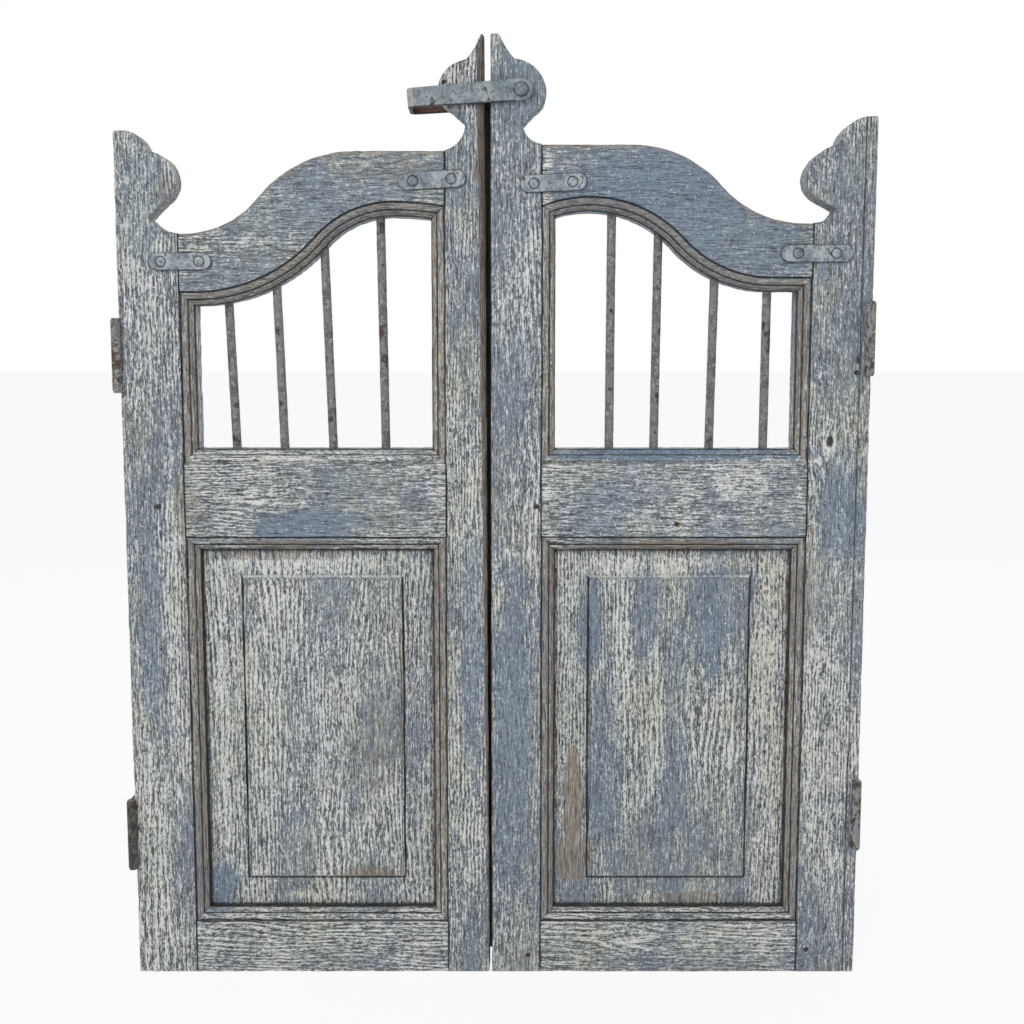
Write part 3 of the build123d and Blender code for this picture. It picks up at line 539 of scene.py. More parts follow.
@dataclass
class Recipe:
    """A material under construction, with the few steps that every old surface here needs."""
    name: str

    def __post_init__(self) -> None:
        """Start the material with an empty tree and the object's own coordinates."""
        self.material = bpy.data.materials.new(self.name)
        self.material.use_nodes = True
        self.tree = self.material.node_tree
        self.tree.nodes.clear()
        self.place = add_node(self.tree, "ShaderNodeTexCoord").outputs["Object"]

    def attribute(self, name: str) -> bpy.types.NodeSocket:
        """Read one of the piece's own attributes.

        Args:
            name: the attribute's name.

        Returns:
            Its value.
        """
        return add_node(self.tree, "ShaderNodeAttribute", attribute_name=name).outputs["Fac"]

    def noise(self, size: tuple[float, float, float], detail: float = 3.0, rough: float = 0.55,
              distort: float = 0.0) -> bpy.types.NodeSocket:
        """Noise whose cells have the given size along each axis.

        Args:
            size: cell size in millimetres.
            detail: octaves.
            rough: share of the finer octaves.
            distort: how much the cells are pulled about.

        Returns:
            Values from 0 to 1.
        """
        stretch = add_node(self.tree, "ShaderNodeMapping", {
            "Vector": self.place, "Scale": tuple(1000.0 / value for value in size)})
        return add_node(self.tree, "ShaderNodeTexNoise", {
            "Vector": stretch.outputs["Vector"], "Scale": 1.0, "Detail": detail, "Roughness": rough,
            "Distortion": distort}).outputs["Fac"]

    def math(self, operation: str, a: object, b: object) -> bpy.types.NodeSocket:
        """Work out one sum.

        Args:
            operation: such as ADD or MULTIPLY.
            a: first value or socket.
            b: second value or socket.

        Returns:
            The result.
        """
        return add_node(self.tree, "ShaderNodeMath", {0: a, 1: b}, operation=operation).outputs[0]

    def total(self, *parts: tuple[object, float]) -> bpy.types.NodeSocket:
        """Add up values or sockets, each with its weight.

        Args:
            parts: pairs of a value and a weight.

        Returns:
            The sum.
        """
        result: object = 0.0
        for value, weight in parts:
            result = add_node(self.tree, "ShaderNodeMath", {0: value, 1: weight, 2: result},
                              operation="MULTIPLY_ADD").outputs[0]
        return result

    def window(self, value: object, low: float, high: float) -> bpy.types.NodeSocket:
        """Ease a value from 0 at low to 1 at high.

        Args:
            value: the value.
            low: where the result is 0.
            high: where the result is 1.

        Returns:
            The result.
        """
        return add_node(self.tree, "ShaderNodeMapRange", {"Value": value, "From Min": low, "From Max": high},
                        interpolation_type="SMOOTHSTEP").outputs["Result"]

    def mix(self, share: object, a: object, b: object) -> bpy.types.NodeSocket:
        """Blend two colours, given as sockets or hex codes.

        Args:
            share: how much of the second shows.
            a: first colour.
            b: second colour.

        Returns:
            The blend.
        """
        first, second = (linear(c) if isinstance(c, str) else c for c in (a, b))
        return add_node(self.tree, "ShaderNodeMix", {0: share, 6: first, 7: second},
                        data_type="RGBA").outputs[2]

    def layer(self, under: object, over: object, value: object, low: float, high: float,
              strength: object) -> bpy.types.NodeSocket:
        """Lay one colour over another where a value is high.

        Args:
            under: colour below.
            over: colour on top.
            value: what decides where the upper colour shows.
            low: value at which it starts to.
            high: value at which it covers most.
            strength: how much it covers there.

        Returns:
            The blend.
        """
        return self.mix(self.math("MULTIPLY", self.window(value, low, high), strength), under, over)

    def finish(self, colour: bpy.types.NodeSocket, rough: object, height: bpy.types.NodeSocket,
               relief: float, metallic: object = 0.0, gloss: float = 0.5) -> bpy.types.Material:
        """Join colour, roughness and bump to the surface.

        Args:
            colour: base colour.
            rough: roughness.
            height: bump height from 0 to 1.
            relief: millimetres that a height of 1 stands up.
            metallic: share of bare metal.
            gloss: specular level.

        Returns:
            The material.
        """
        raised = add_node(self.tree, "ShaderNodeBump", {
            "Strength": 1.0, "Distance": relief * METRES, "Height": height})
        surface = add_node(self.tree, "ShaderNodeBsdfPrincipled", {
            "Base Color": colour, "Roughness": rough, "Metallic": metallic, "Specular IOR Level": gloss,
            "Normal": raised.outputs["Normal"]})
        add_node(self.tree, "ShaderNodeOutputMaterial", {"Surface": surface.outputs["BSDF"]})
        return self.material


@dataclass(frozen=True)
class ChalkedPaint:
    """Old limewashed oil paint on teak, worn to its fibres: blue-grey body, pale crests, dark furrows."""
    grain: Grain
    body: str = "#939da6"
    slate: str = "#87919f"
    blue: str = "#8095ab"
    sage: str = "#9a9f99"
    pale: str = "#f2f4f1"
    lichen: str = "#e9ecdd"
    furrow: str = "#4a4b4c"
    timber: str = "#b1a698"
    heart: str = "#6f655b"
    cream: str = "#eeebdd"
    soot_and_shade: str = "#1d1b19"

    def cells(self, across: float, along: float) -> tuple[float, float, float]:
        """Cell size of a pattern that runs with the grain, in millimetres.

        Args:
            across: size across the grain.
            along: size along the grain.

        Returns:
            Size along x, y and z.
        """
        return (across, across, along) if self.grain is Grain.UPRIGHT else (along, across, across)

    def material(self) -> bpy.types.Material:
        """Build the finish.

        Fibres of 1 to 4 mm, as on the real boards, split the paint into pale crests and dark
        furrows. Flakes of 4 to 9 mm break it up, and clouds a hand wide shift it from slate to sage.

        Returns:
            The material.
        """
        r = Recipe(f"worn_chalk_paint_on_{self.grain.value}_teak")
        fibre = r.noise(self.cells(1.15, 19.0), 4.0, 0.64, 0.25)
        fleck = r.noise(self.cells(1.5, 4.6), 4.0, 0.68, 0.6)
        speck = r.noise((2.1, 2.1, 2.6), 3.0, 0.6, 0.8)
        flake = r.noise((5.5, 5.5, 7.5), 5.0, 0.66, 0.9)
        cloud = r.noise((80.0, 80.0, 120.0), 3.0, 0.55)
        drift = r.noise((38.0, 38.0, 90.0), 3.0, 0.6)
        ridge, worn, arris, chalk_and_highlight, sound, bare, cream, dark = (
            r.attribute(name)
            for name in ("ridge", "worn", "arris", "chalk_and_highlight", "sound", "bare", "cream", "dark"))
        fibres = r.total((fleck, 1.35), (fibre, 1.2), (flake, 0.45), (ridge, 0.26))
        body = r.mix(r.window(cloud, 0.42, 0.60), self.slate, self.body)
        body = r.layer(body, self.sage, drift, 0.47, 0.62, r.total((sound, -0.6), (1.0, 0.7)))
        body = r.mix(r.math("MULTIPLY", sound, 0.7), body, self.blue)
        body = r.layer(body, self.furrow, r.total((fibre, 1.0), (fleck, 0.5)), 0.76, 0.64, 0.45)
        # Loose pale limewash on the crests, thick where the paint is worn or chalky.
        load = r.total((fibres, 1.0), (drift, 0.25), (worn, 0.16), (chalk_and_highlight, 0.13), (sound, -0.10))
        pale = r.mix(r.window(cloud, 0.46, 0.66), self.pale, self.lichen)
        colour = r.layer(body, pale, load, 1.84, 2.06, r.total((sound, -0.3), (1.0, 0.95)))
        chips = r.total((speck, 1.0), (worn, 0.03), (chalk_and_highlight, 0.05), (sound, -0.01))
        colour = r.layer(colour, self.pale, chips, 0.60, 0.68, 0.85)
        # Dirt in the furrows, which are the low places of the same fibres.
        low = r.total((fibres, -1.0), (worn, 0.10), (sound, -0.03))
        colour = r.layer(colour, self.furrow, low, -1.62, -1.25, 0.93)
        # Bare wood, old cream paint, and near black where the board's marks have dark stains or dark joints,
        # and where shade is painted into quirks, grooves and recesses.
        timber = r.mix(r.window(fibre, 0.38, 0.62), self.heart, self.timber)
        colour = r.layer(colour, timber, r.total((bare, 1.0), (arris, 0.42), (flake, 1.5)), 1.13, 1.47, 0.8)
        creamy = r.total((cream, 1.0), (flake, 1.3), (fibre, 1.1), (fleck, 1.0))
        colour = r.layer(colour, self.cream, creamy, 2.12, 2.46, 0.88)
        colour = r.layer(colour, self.soot_and_shade, r.total((dark, 1.0), (flake, 0.5)), 0.42, 0.98, 0.9)
        rough = r.total((flake, 0.25), (1.0, 0.6))
        height = r.total((fibre, 0.6), (fleck, 0.5), (r.window(flake, 0.42, 0.60), 0.25))
        return r.finish(colour, rough, height, 1.1, gloss=0.25)


@dataclass(frozen=True)
class WornIron:
    """Wrought iron under layers of brushed paint, chipped to grey metal and brown rust."""
    name: str
    body: str
    light: str
    chip: str
    rust: str
    rust_share: float
    relief: float = 0.5
    bright: str = "#b4b0a8"
    old_rust: str = "#2b211b"
    pit: str = "#1f1e1d"
    grime_and_shade: str = "#22211f"

    def material(self) -> bpy.types.Material:
        """Build the finish: paint in brushed layers, chips of 2 to 6 mm and rust that creeps between.

        Returns:
            The material.
        """
        r = Recipe(self.name)
        grit = r.noise((1.6, 1.6, 1.6), 4.0, 0.65)
        scab = r.noise((5.0, 5.0, 6.5), 5.0, 0.68, 0.6)
        cloud = r.noise((19.0, 19.0, 24.0), 3.0, 0.6)
        colour = r.mix(r.window(cloud, 0.38, 0.62), self.body, self.light)
        colour = r.mix(r.window(grit, 0.50, 0.66), colour, self.light)
        chipped = r.window(r.total((scab, 0.8), (grit, 0.3)), 0.56, 0.64)
        colour = r.mix(r.math("MULTIPLY", chipped, 0.75), colour, self.chip)
        # Pale metal where the bright attribute is high, which on the latch's bend is worn bare metal and a
        # painted highlight.
        rubbed_and_lit = r.total((r.attribute("bright"), 1.0), (scab, 0.5))
        colour = r.layer(colour, self.bright, rubbed_and_lit, 0.6, 1.2, 0.8)
        rusty = r.total((cloud, 0.6), (scab, 0.4), (grit, 0.15), (r.attribute("rust"), 0.35))
        rusty = r.window(rusty, 0.70 - 0.3 * self.rust_share, 0.78 - 0.3 * self.rust_share)
        colour = r.mix(rusty, colour, r.mix(r.window(grit, 0.4, 0.62), self.rust, self.old_rust))
        colour = r.layer(colour, self.pit, grit, 0.42, 0.32, 0.6)
        # Near black where the dark attribute is high: painted shade round the strap plates' rims, round screw
        # and bolt heads and along the latch's edges, with a little random grime.
        shade_and_grime = r.total((r.attribute("dark"), 1.0), (scab, 0.6))
        colour = r.layer(colour, self.grime_and_shade, shade_and_grime, 0.42, 0.95, 0.85)
        height = r.total((scab, 1.0), (grit, 0.5), (chipped, -0.3))
        rough = r.total((grit, 0.3), (1.0, 0.42))
        return r.finish(colour, rough, height, self.relief, gloss=0.4)


@dataclass(frozen=True)
class BareLath:
    """Unpainted weathered softwood, silver-brown, for the strip behind the gap."""
    light: str = "#8b8073"
    dark: str = "#4a4038"
    greyed: str = "#7b7d7c"
    split: str = "#2f2923"

    def material(self) -> bpy.types.Material:
        """Build the finish: upright growth lines of 2 to 5 mm, greyed in soft clouds, finely split.

        Returns:
            The material.
        """
        r = Recipe("weathered_bare_softwood")
        line = r.noise((2.4, 2.4, 90.0), 4.0, 0.6, 0.3)
        hair = r.noise((0.9, 0.9, 20.0), 3.0, 0.6)
        cloud = r.noise((30.0, 30.0, 140.0), 3.0, 0.55)
        colour = r.mix(r.window(line, 0.35, 0.65), self.dark, self.light)
        colour = r.layer(colour, self.greyed, cloud, 0.4, 0.65, 0.6)
        colour = r.layer(colour, self.split, hair, 0.45, 0.35, 0.5)
        return r.finish(colour, 0.82, r.total((line, 1.0), (hair, 0.5)), 0.7, gloss=0.2)


@dataclass(frozen=True)
class Ogee:
    """An S-shaped edge: level, hollow arc up, round arc over, then level or falling away."""
    low: tuple[float, float]
    hollow: float
    turn: float
    rounded: float
    tail: float = 0.0

    def height(self, u: np.ndarray, offset: object = 0.0) -> np.ndarray:
        """Height of the edge at u, moved up along its normal.

        Each stretch is a circle: its centre's height less, or plus, the root of its radius squared
        less the distance from the centre squared, with the radius changed by the offset.

        Args:
            u: place along the leaf.
            offset: distance along the normal.

        Returns:
            Heights.
        """
        slope = math.radians(self.turn)
        crest_u = self.low[0] + (self.hollow + self.rounded) * math.sin(slope)
        crest_z = self.low[1] + (self.hollow + self.rounded) * (1 - math.cos(slope))
        inner, outer, tail = self.hollow - offset, self.rounded + offset, self.tail + offset
        bend = self.low[0] + inner * math.sin(slope)
        hollow = self.low[1] + self.hollow - np.sqrt(np.maximum(inner ** 2 - (u - self.low[0]) ** 2, 0))
        over = crest_z - self.rounded + np.sqrt(np.maximum(outer ** 2 - (crest_u - u) ** 2, 0))
        away = crest_z + offset + 0.0 * u
        if self.tail:
            away = crest_z - self.tail + np.sqrt(np.maximum(tail ** 2 - (u - crest_u) ** 2, 0))
        return np.where(u <= self.low[0], self.low[1] + offset, np.where(
            u <= bend, hollow, np.where(u <= crest_u, over, away)))


def arc_points(start: tuple, through: tuple, end: tuple, count: int = 24) -> np.ndarray:
    """Points on the circle through three points, from the first to the last.

    The centre is where the perpendicular bisectors of the two chords cross.

    Args:
        start: first point.
        through: a point between.
        end: last point.
        count: how many points.

    Returns:
        Points, two coordinates each.
    """
    a, b, c = (np.array(p, float) for p in (start, through, end))
    sides = 2 * np.array([b - a, c - b])
    centre = np.linalg.solve(sides, np.array([b @ b - a @ a, c @ c - b @ b]))
    angle = np.unwrap(np.arctan2(*np.array([a - centre, b - centre, c - centre]).T[::-1]))
    swept = np.linspace(angle[0], angle[2], count)
    radius = np.linalg.norm(a - centre)
    return centre + radius * np.stack([np.cos(swept), np.sin(swept)], axis=1)


def finial_outline(strokes: tuple, joint_z: float, joint_d: float) -> tuple[np.ndarray, np.ndarray]:
    """A finial's profile as its width at falling heights.

    Args:
        strokes: ends, or arcs' middles and ends, as distance from the free edge and rise.
        joint_z: height of the rail joint.
        joint_d: width of the stile at the joint.

    Returns:
        Heights from low to high, and the widths there.
    """
    here = strokes[1][0]
    runs = [np.array([here])]
    for stroke in strokes[2:-1]:
        there = stroke[-1]
        runs.append(np.array([here, there]) if len(stroke) == 1 else arc_points(here, stroke[0], there))
        here = there
    runs.append(arc_points(here, strokes[-1][0], (joint_d, 0.0)))
    outline = np.concatenate(runs)
    heights = np.minimum.accumulate(outline[:, 1] - np.arange(len(outline)) * 1e-5) + joint_z
    return heights[::-1], outline[::-1, 0]


@dataclass
class LeafSizes:
    """What differs between the two leaves, in millimetres from the hinge edge."""
    side: str
    width: float
    hinge_face: float
    meeting_face: float
    top_edge: Ogee
    arch: Ogee
    hinge_finial: tuple
    meeting_finial: tuple
    edge_x: float
    direction: float
    feet: tuple
    heads: tuple
    hinge_heights: tuple
    hinge_recess: float
    bead: float
    taper: float
    bevel: tuple
    field_margin: float
    straps: tuple
    nails: tuple
    seed: int

    def x(self, u: np.ndarray) -> np.ndarray:
        """Place along the doorway.

        Args:
            u: distance from the hinge edge.

        Returns:
            The place, in x.
        """
        return self.edge_x + self.direction * u

    def openings(self) -> tuple[float, float]:
        """Where the openings start and end.

        Returns:
            Two distances from the hinge edge.
        """
        return self.hinge_face + MOULDING, self.width - self.meeting_face - MOULDING

    def shoulders(self) -> tuple[float, float]:
        """Where the rails start and end.

        Returns:
            Two distances from the hinge edge.
        """
        return self.hinge_face + JOINT_GAP, self.width - self.meeting_face - JOINT_GAP

    @property
    def body(self) -> str:
        """The moving body that the leaf's pieces ride on.

        Returns:
            The body's name.
        """
        return f"{self.side}_leaf"


def weather(shell: Shell, relief: Relief, arris: np.ndarray, grime_and_shade: np.ndarray, bare: object = 0.0,
            hold: object = 1.0, chalk_and_highlight: object = 0.0) -> None:
    """Carve the grain into a shell and give it the attributes that its paint reads.

    Args:
        shell: the board.
        relief: its grain.
        arris: closeness to a corner.
        grime_and_shade: dark joint lines and dark bare wood, with painted shade in the mouldings' quirks,
            round the panels and along their grooves.
        bare: places that have lost their paint, besides the patches.
        hold: share of the carving that is kept, for thin tips.
        chalk_and_highlight: loose pale paint, besides the patches; on the panels, a painted highlight along
            the groove over the field.
    """
    x, y, z = np.moveaxis(shell.points, 2, 0)
    fields = relief.fields(x, y, z)
    chips = Lattice(relief.seed + 5).cloud((x + y) / 7, z / 11)
    depth = relief.depth * np.clip(fields["furrow"], 0, 1.8) + 0.35 * (1 - fields["ridge"])
    depth = depth + arris * np.clip(chips - 0.45, 0, 1) * 1.6
    shell.carve(depth * hold)
    fields["bare"] = np.maximum(fields["bare"], bare)
    fields["chalk_and_highlight"] = np.maximum(fields["chalk_and_highlight"], chalk_and_highlight)
    fields["arris"] = arris * np.clip(0.3 + 1.4 * chips, 0, 1)
    # Dark marks, dark joints and painted shade all go into one dark attribute.
    fields["dark"] = np.maximum(fields["dark"], grime_and_shade)
    shell.attributes = fields


def moulding_lines(across: np.ndarray) -> tuple[np.ndarray, np.ndarray]:
    """Painted shade and wear on the moulding: shade painted dark in its two quirks and along the inner edge,
    worn on its beads.

    Args:
        across: distance from the opening's edge.

    Returns:
        Painted shade and bareness, from 0 to 1.
    """
    # Painted shade: dark lines in the two quirks and along the inner edge.
    dirt_and_shade = bump(across - 15.35, 0.8) + 0.95 * bump(across - 6.7, 0.8) + 0.8 * bump(across, 1.6)
    wear = 0.62 * (across > 0.5) * (across < 14.6)
    return np.clip(dirt_and_shade, 0, 1), wear


def moulding_depth(across: np.ndarray) -> np.ndarray:
    """Depth of the moulding below the face.

    Args:
        across: distance from the opening's edge.

    Returns:
        Depths, in millimetres.
    """
    return np.interp(across, MOULDING_ACROSS[::-1], MOULDING_DEEP[::-1])


def dress(piece: bpy.types.Object, material: bpy.types.Material, body: str, slot: str,
          *nodes: str) -> bpy.types.Object:
    """Paint a piece, hang it on its body and let it stand for its CAD nodes.

    Args:
        piece: the piece.
        material: its finish.
        body: what it moves with.
        slot: not used.
        nodes: the nodes it stands for.

    Returns:
        The piece.
    """
    piece.data.materials.append(material)
    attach(piece, body)
    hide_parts(*nodes)
    log.info("%s: %d faces, on %s", piece.name, len(piece.data.polygons), body)
    return piece


def levels(marks: list[float], pitch: float, fine: list[tuple[float, float, float]]) -> np.ndarray:
    """Row places between the first and last mark: an even pitch, finer spans, and the marks.

    Args:
        marks: places that must be rows.
        pitch: usual distance between rows.
        fine: spans with their own pitch, as from, to and pitch.

    Returns:
        Sorted places, none closer than 0.02.
    """
    low, high = min(marks), max(marks)
    rows = [np.array(marks), np.linspace(low, high, int((high - low) / pitch) + 1)]
    rows += [np.linspace(a, b, max(int((b - a) / p) + 1, 2)) for a, b, p in fine]
    places = np.unique(np.round(np.clip(np.concatenate(rows), low, high), 3))
    return places[np.concatenate([[True], np.diff(places) > 0.015])]


def rounded_off(distance: np.ndarray, radius: float) -> np.ndarray:
    """How far a quarter circle keeps a side back near its end.

    It is the radius less the root of the radius squared less the distance still to go squared.

    Args:
        distance: distance from the end.
        radius: of the circle.

    Returns:
        The inset, which is zero beyond the radius.
    """
    away = radius - distance
    return np.where(away > 0, radius - np.sqrt(np.maximum(radius ** 2 - away ** 2, 0)), 0.0)


def turned(a: object, b: object, degrees: float) -> tuple:
    """Turn a pair of coordinates round the origin.

    Args:
        a: first coordinate.
        b: second coordinate.
        degrees: from the first axis towards the second.

    Returns:
        The turned pair.
    """
    c, s = math.cos(math.radians(degrees)), math.sin(math.radians(degrees))
    return a * c - b * s, a * s + b * c


@dataclass
class Stile:
    """An upright with a scrolled finial, moulded where it borders an opening."""
    sizes: LeafSizes
    is_hinge: bool
    arris_radius: float = 1.5
    foot_radius: float = 1.2
    plate_front: float = 11.4
    plate_half: float = 40.42

    def __post_init__(self) -> None:
        """Work out the finial and the heights at which the section changes."""
        s = self.sizes
        self.kind = "hinge" if self.is_hinge else "meeting"
        self.is_beaded = self.is_hinge and s.bead < 20
        self.face = s.hinge_face if self.is_hinge else s.meeting_face
        self.opening = self.face + MOULDING
        face_u, opening_u = (np.array(d if self.is_hinge else s.width - d) for d in (self.face, self.opening))
        self.joint_z = float(s.top_edge.height(face_u))
        strokes = s.hinge_finial if self.is_hinge else s.meeting_finial
        self.finial = finial_outline(strokes, self.joint_z, self.face)
        self.tip = self.finial[0][-1]
        self.mitres = [0.0, PANEL_FOOT - MOULDING, PANEL_FOOT, PANEL_HEAD, PANEL_HEAD + MOULDING,
                       SILL - MOULDING, SILL, float(s.arch.height(opening_u)),
                       float(s.arch.height(face_u, MOULDING)), self.joint_z]

    def rows(self) -> np.ndarray:
        """Heights of the sections, close together at mitres, finial, tip and foot.

        Returns:
            Heights.
        """
        fine = [(low, high, 2.0) for low, high in zip(self.mitres[1:9:2], self.mitres[2:9:2])]
        fine += [(self.joint_z - 1, self.tip - 3, 1.5), (self.tip - 4, self.tip, 0.4), (0, 2, 0.6)]
        marks = self.mitres + [self.tip, self.joint_z - 0.3]
        if self.is_hinge:
            marks += [middle + side * (self.plate_half + step) for middle in self.sizes.hinge_heights
                      for side in (-1, 1) for step in (-0.02, 0.03)]
        return levels(marks, 4.25, fine)

    def free_edge(self, z: np.ndarray, inset: np.ndarray, front_end: np.ndarray) -> list[tuple]:
        """Corners of the free edge, from the back to the face.

        The hinge stile is cut back behind the plates; the meeting stile may have a bevel.

        Args:
            z: heights of the sections.
            inset: rounding of foot and tip.
            front_end: width of the face.

        Returns:
            Four corners, each a distance from the free edge and a depth.
        """
        s = self.sizes
        start = s.taper * (z / self.tip) * (not self.is_hinge) + inset
        if self.is_hinge:
            at_hinge = np.max([np.abs(z - middle) <= self.plate_half for middle in s.hinge_heights], axis=0)
            recess = start + 0.02 + s.hinge_recess * at_hinge
            return [(start, BACK - inset), (start, self.plate_front), (recess, self.plate_front - 0.02),
                    (recess, FRONT + inset)]
        share = np.interp(z, [0, self.tip], [0.12, 1.0]) if s.bevel[0] else 0.01 + 0 * z
        slant = np.minimum(0.02 + s.bevel[0] * share, np.maximum(front_end - start - 2.0, 0.02))
        return [(start, BACK - inset), (start, 0.0), (start, FRONT + inset + s.bevel[1] * share),
                (start + slant, FRONT + inset)]

    def build(self, finish: bpy.types.Material) -> bpy.types.Object:
        """Carry the stile's section up its height.

        At each height the section runs up the free edge, across the face, down the moulding to
        the opening and round the back. Its width follows the finial, and above and below each
        opening the moulding is cut off along the mitre.

        Args:
            finish: the paint.

        Returns:
            The piece.
        """
        s, face, opening, tip = self.sizes, self.face, self.opening, self.tip
        z = self.rows()
        above = z > self.joint_z
        outline = np.interp(z, *self.finial)
        front_end = np.interp(z, self.mitres, [face, face, opening, opening] * 2 + [face, face])
        front_end = np.where(above, outline, front_end - 0.22 * (front_end <= face + 0.01))
        core_end = np.where(above, outline, np.interp(z, [self.joint_z - 0.3, self.joint_z], [opening, face]))
        front_end = np.minimum(front_end, core_end)
        crown = 3.0 if self.is_hinge else (0.9 if s.bevel[0] else 2.4)
        inset = rounded_off(tip - z, crown) + rounded_off(z, self.foot_radius)
        front_end, core_end = front_end - inset, core_end - inset
        quirk = 2.4 * self.is_beaded
        bead = [(np.minimum(s.bead + off, front_end - 0.8 + 0.1 * off), FRONT + inset + dip)
                for off, dip in ((-1.0, 0.0), (0.0, quirk), (1.0, 0.0))]
        count = len(MOULDING_ACROSS)
        moulding = []
        for k in range(count):
            d = np.minimum(opening - MOULDING_ACROSS[k], front_end - 0.012 * (count - k))
            moulding.append((d, FRONT + inset + np.where(above, 0.0, moulding_depth(opening - d))))
        last = [(front_end, STEP), (core_end, STEP + 0.02), (core_end, BACK - inset)]
        corners = outlines(self.free_edge(z, inset, front_end) + bead + moulding + last)
        radii = np.array([1.6, 0, 0, self.arris_radius] + [0] * (count + 2) + [0.5, 0, 0, 1.4])
        spans = np.array([8, 1, 14, 12, 1, 1, int(face - s.bead)] + [1] * (count - 4)
                         + [2, 1, 2, 3, 1, 9, int(opening / 3.6)])
        loop, arris = rounded_loops(corners, radii, spans)
        d, y = loop[..., 0], loop[..., 1]
        tall = np.broadcast_to(z[:, None], d.shape)
        u = d if self.is_hinge else s.width - d
        shell = Shell(f"{s.side}_{self.kind}_upright", np.stack([s.x(u), y, tall], axis=2))
        # Painted shade darkens the moulding's quirks and the bead's quirk; the rail joints are dark lines,
        # the free edge's side is darker and the meeting bevel shows dark bare wood.
        dirt_and_shade, wear = moulding_lines(opening - d)
        below, moulded = tall < self.joint_z, front_end[:, None] > face + 1
        shaped = (y < STEP + 0.5) * below * np.clip((front_end[:, None] - d + 3) / 2, 0, 1)
        joint = 0.8 * bump(d - face) * (y < STEP) * (front_end[:, None] <= face + 0.01) * below
        free = np.clip(1 - d / 3.0, 0, 1) * 0.35 * (y > FRONT + 2)
        quirk_shade = 0.55 * self.is_beaded * bump(d - s.bead) * (y < STEP)
        edge = (y > FRONT + 0.4) & (d < s.bead) & (y < 0) & (not self.is_hinge)
        grime_and_shade = np.max([joint, dirt_and_shade * shaped, free, quirk_shade, 0.35 * edge], axis=0)
        weather(shell, Relief(s.seed + (11 if self.is_hinge else 23), Grain.UPRIGHT, 0.5, 0.5, 4.4), arris,
                grime_and_shade, np.maximum(0.75 * edge, wear * shaped * moulded), np.clip((tip - tall) / 2.5, 0, 1))
        return dress(shell.build(), finish, s.body, "painted_wood", f"{s.side}_{self.kind}_stile")


@dataclass
class Crosspiece:
    """What straight and shaped rails share: sections from stile to stile, thin at the mitres."""
    sizes: LeafSizes

    def stations(self, pitch: float) -> tuple[np.ndarray, np.ndarray]:
        """Places of the sections, and the depth of the back there.

        In the last 16 mm at each end only the front layer is there; between them the rail is
        full depth.

        Args:
            pitch: usual distance between sections.

        Returns:
            Distances from the hinge edge, and depths.
        """
        joint_from, joint_to = self.sizes.shoulders()
        open_from, open_to = self.sizes.openings()
        u = levels([joint_from, open_from, open_from + 0.03, open_to - 0.03, open_to, joint_to], pitch,
                   [(joint_from, open_from, 2.0), (open_to, joint_to, 2.0)])
        inside = (u > open_from + 0.01) & (u < open_to - 0.01)
        return u, np.where(inside, BACK, STEP + 0.03)

    def stand(self, name: str, u: np.ndarray, loop: np.ndarray) -> tuple[Shell, np.ndarray]:
        """Put the sections in their places.

        Args:
            name: the piece's name after the side.
            u: places of the sections.
            loop: the sections, as height and depth.

        Returns:
            The shell, and the dirt in its joints with the stiles.
        """
        wide = np.broadcast_to(u[:, None], loop.shape[:2])
        joint_from, joint_to = self.sizes.shoulders()
        dirt_and_shade = 0.8 * np.maximum(bump(wide - joint_from), bump(wide - joint_to))
        points = np.stack([self.sizes.x(wide), loop[..., 1], loop[..., 0]], axis=2)
        return Shell(f"{self.sizes.side}_{name}", points), dirt_and_shade


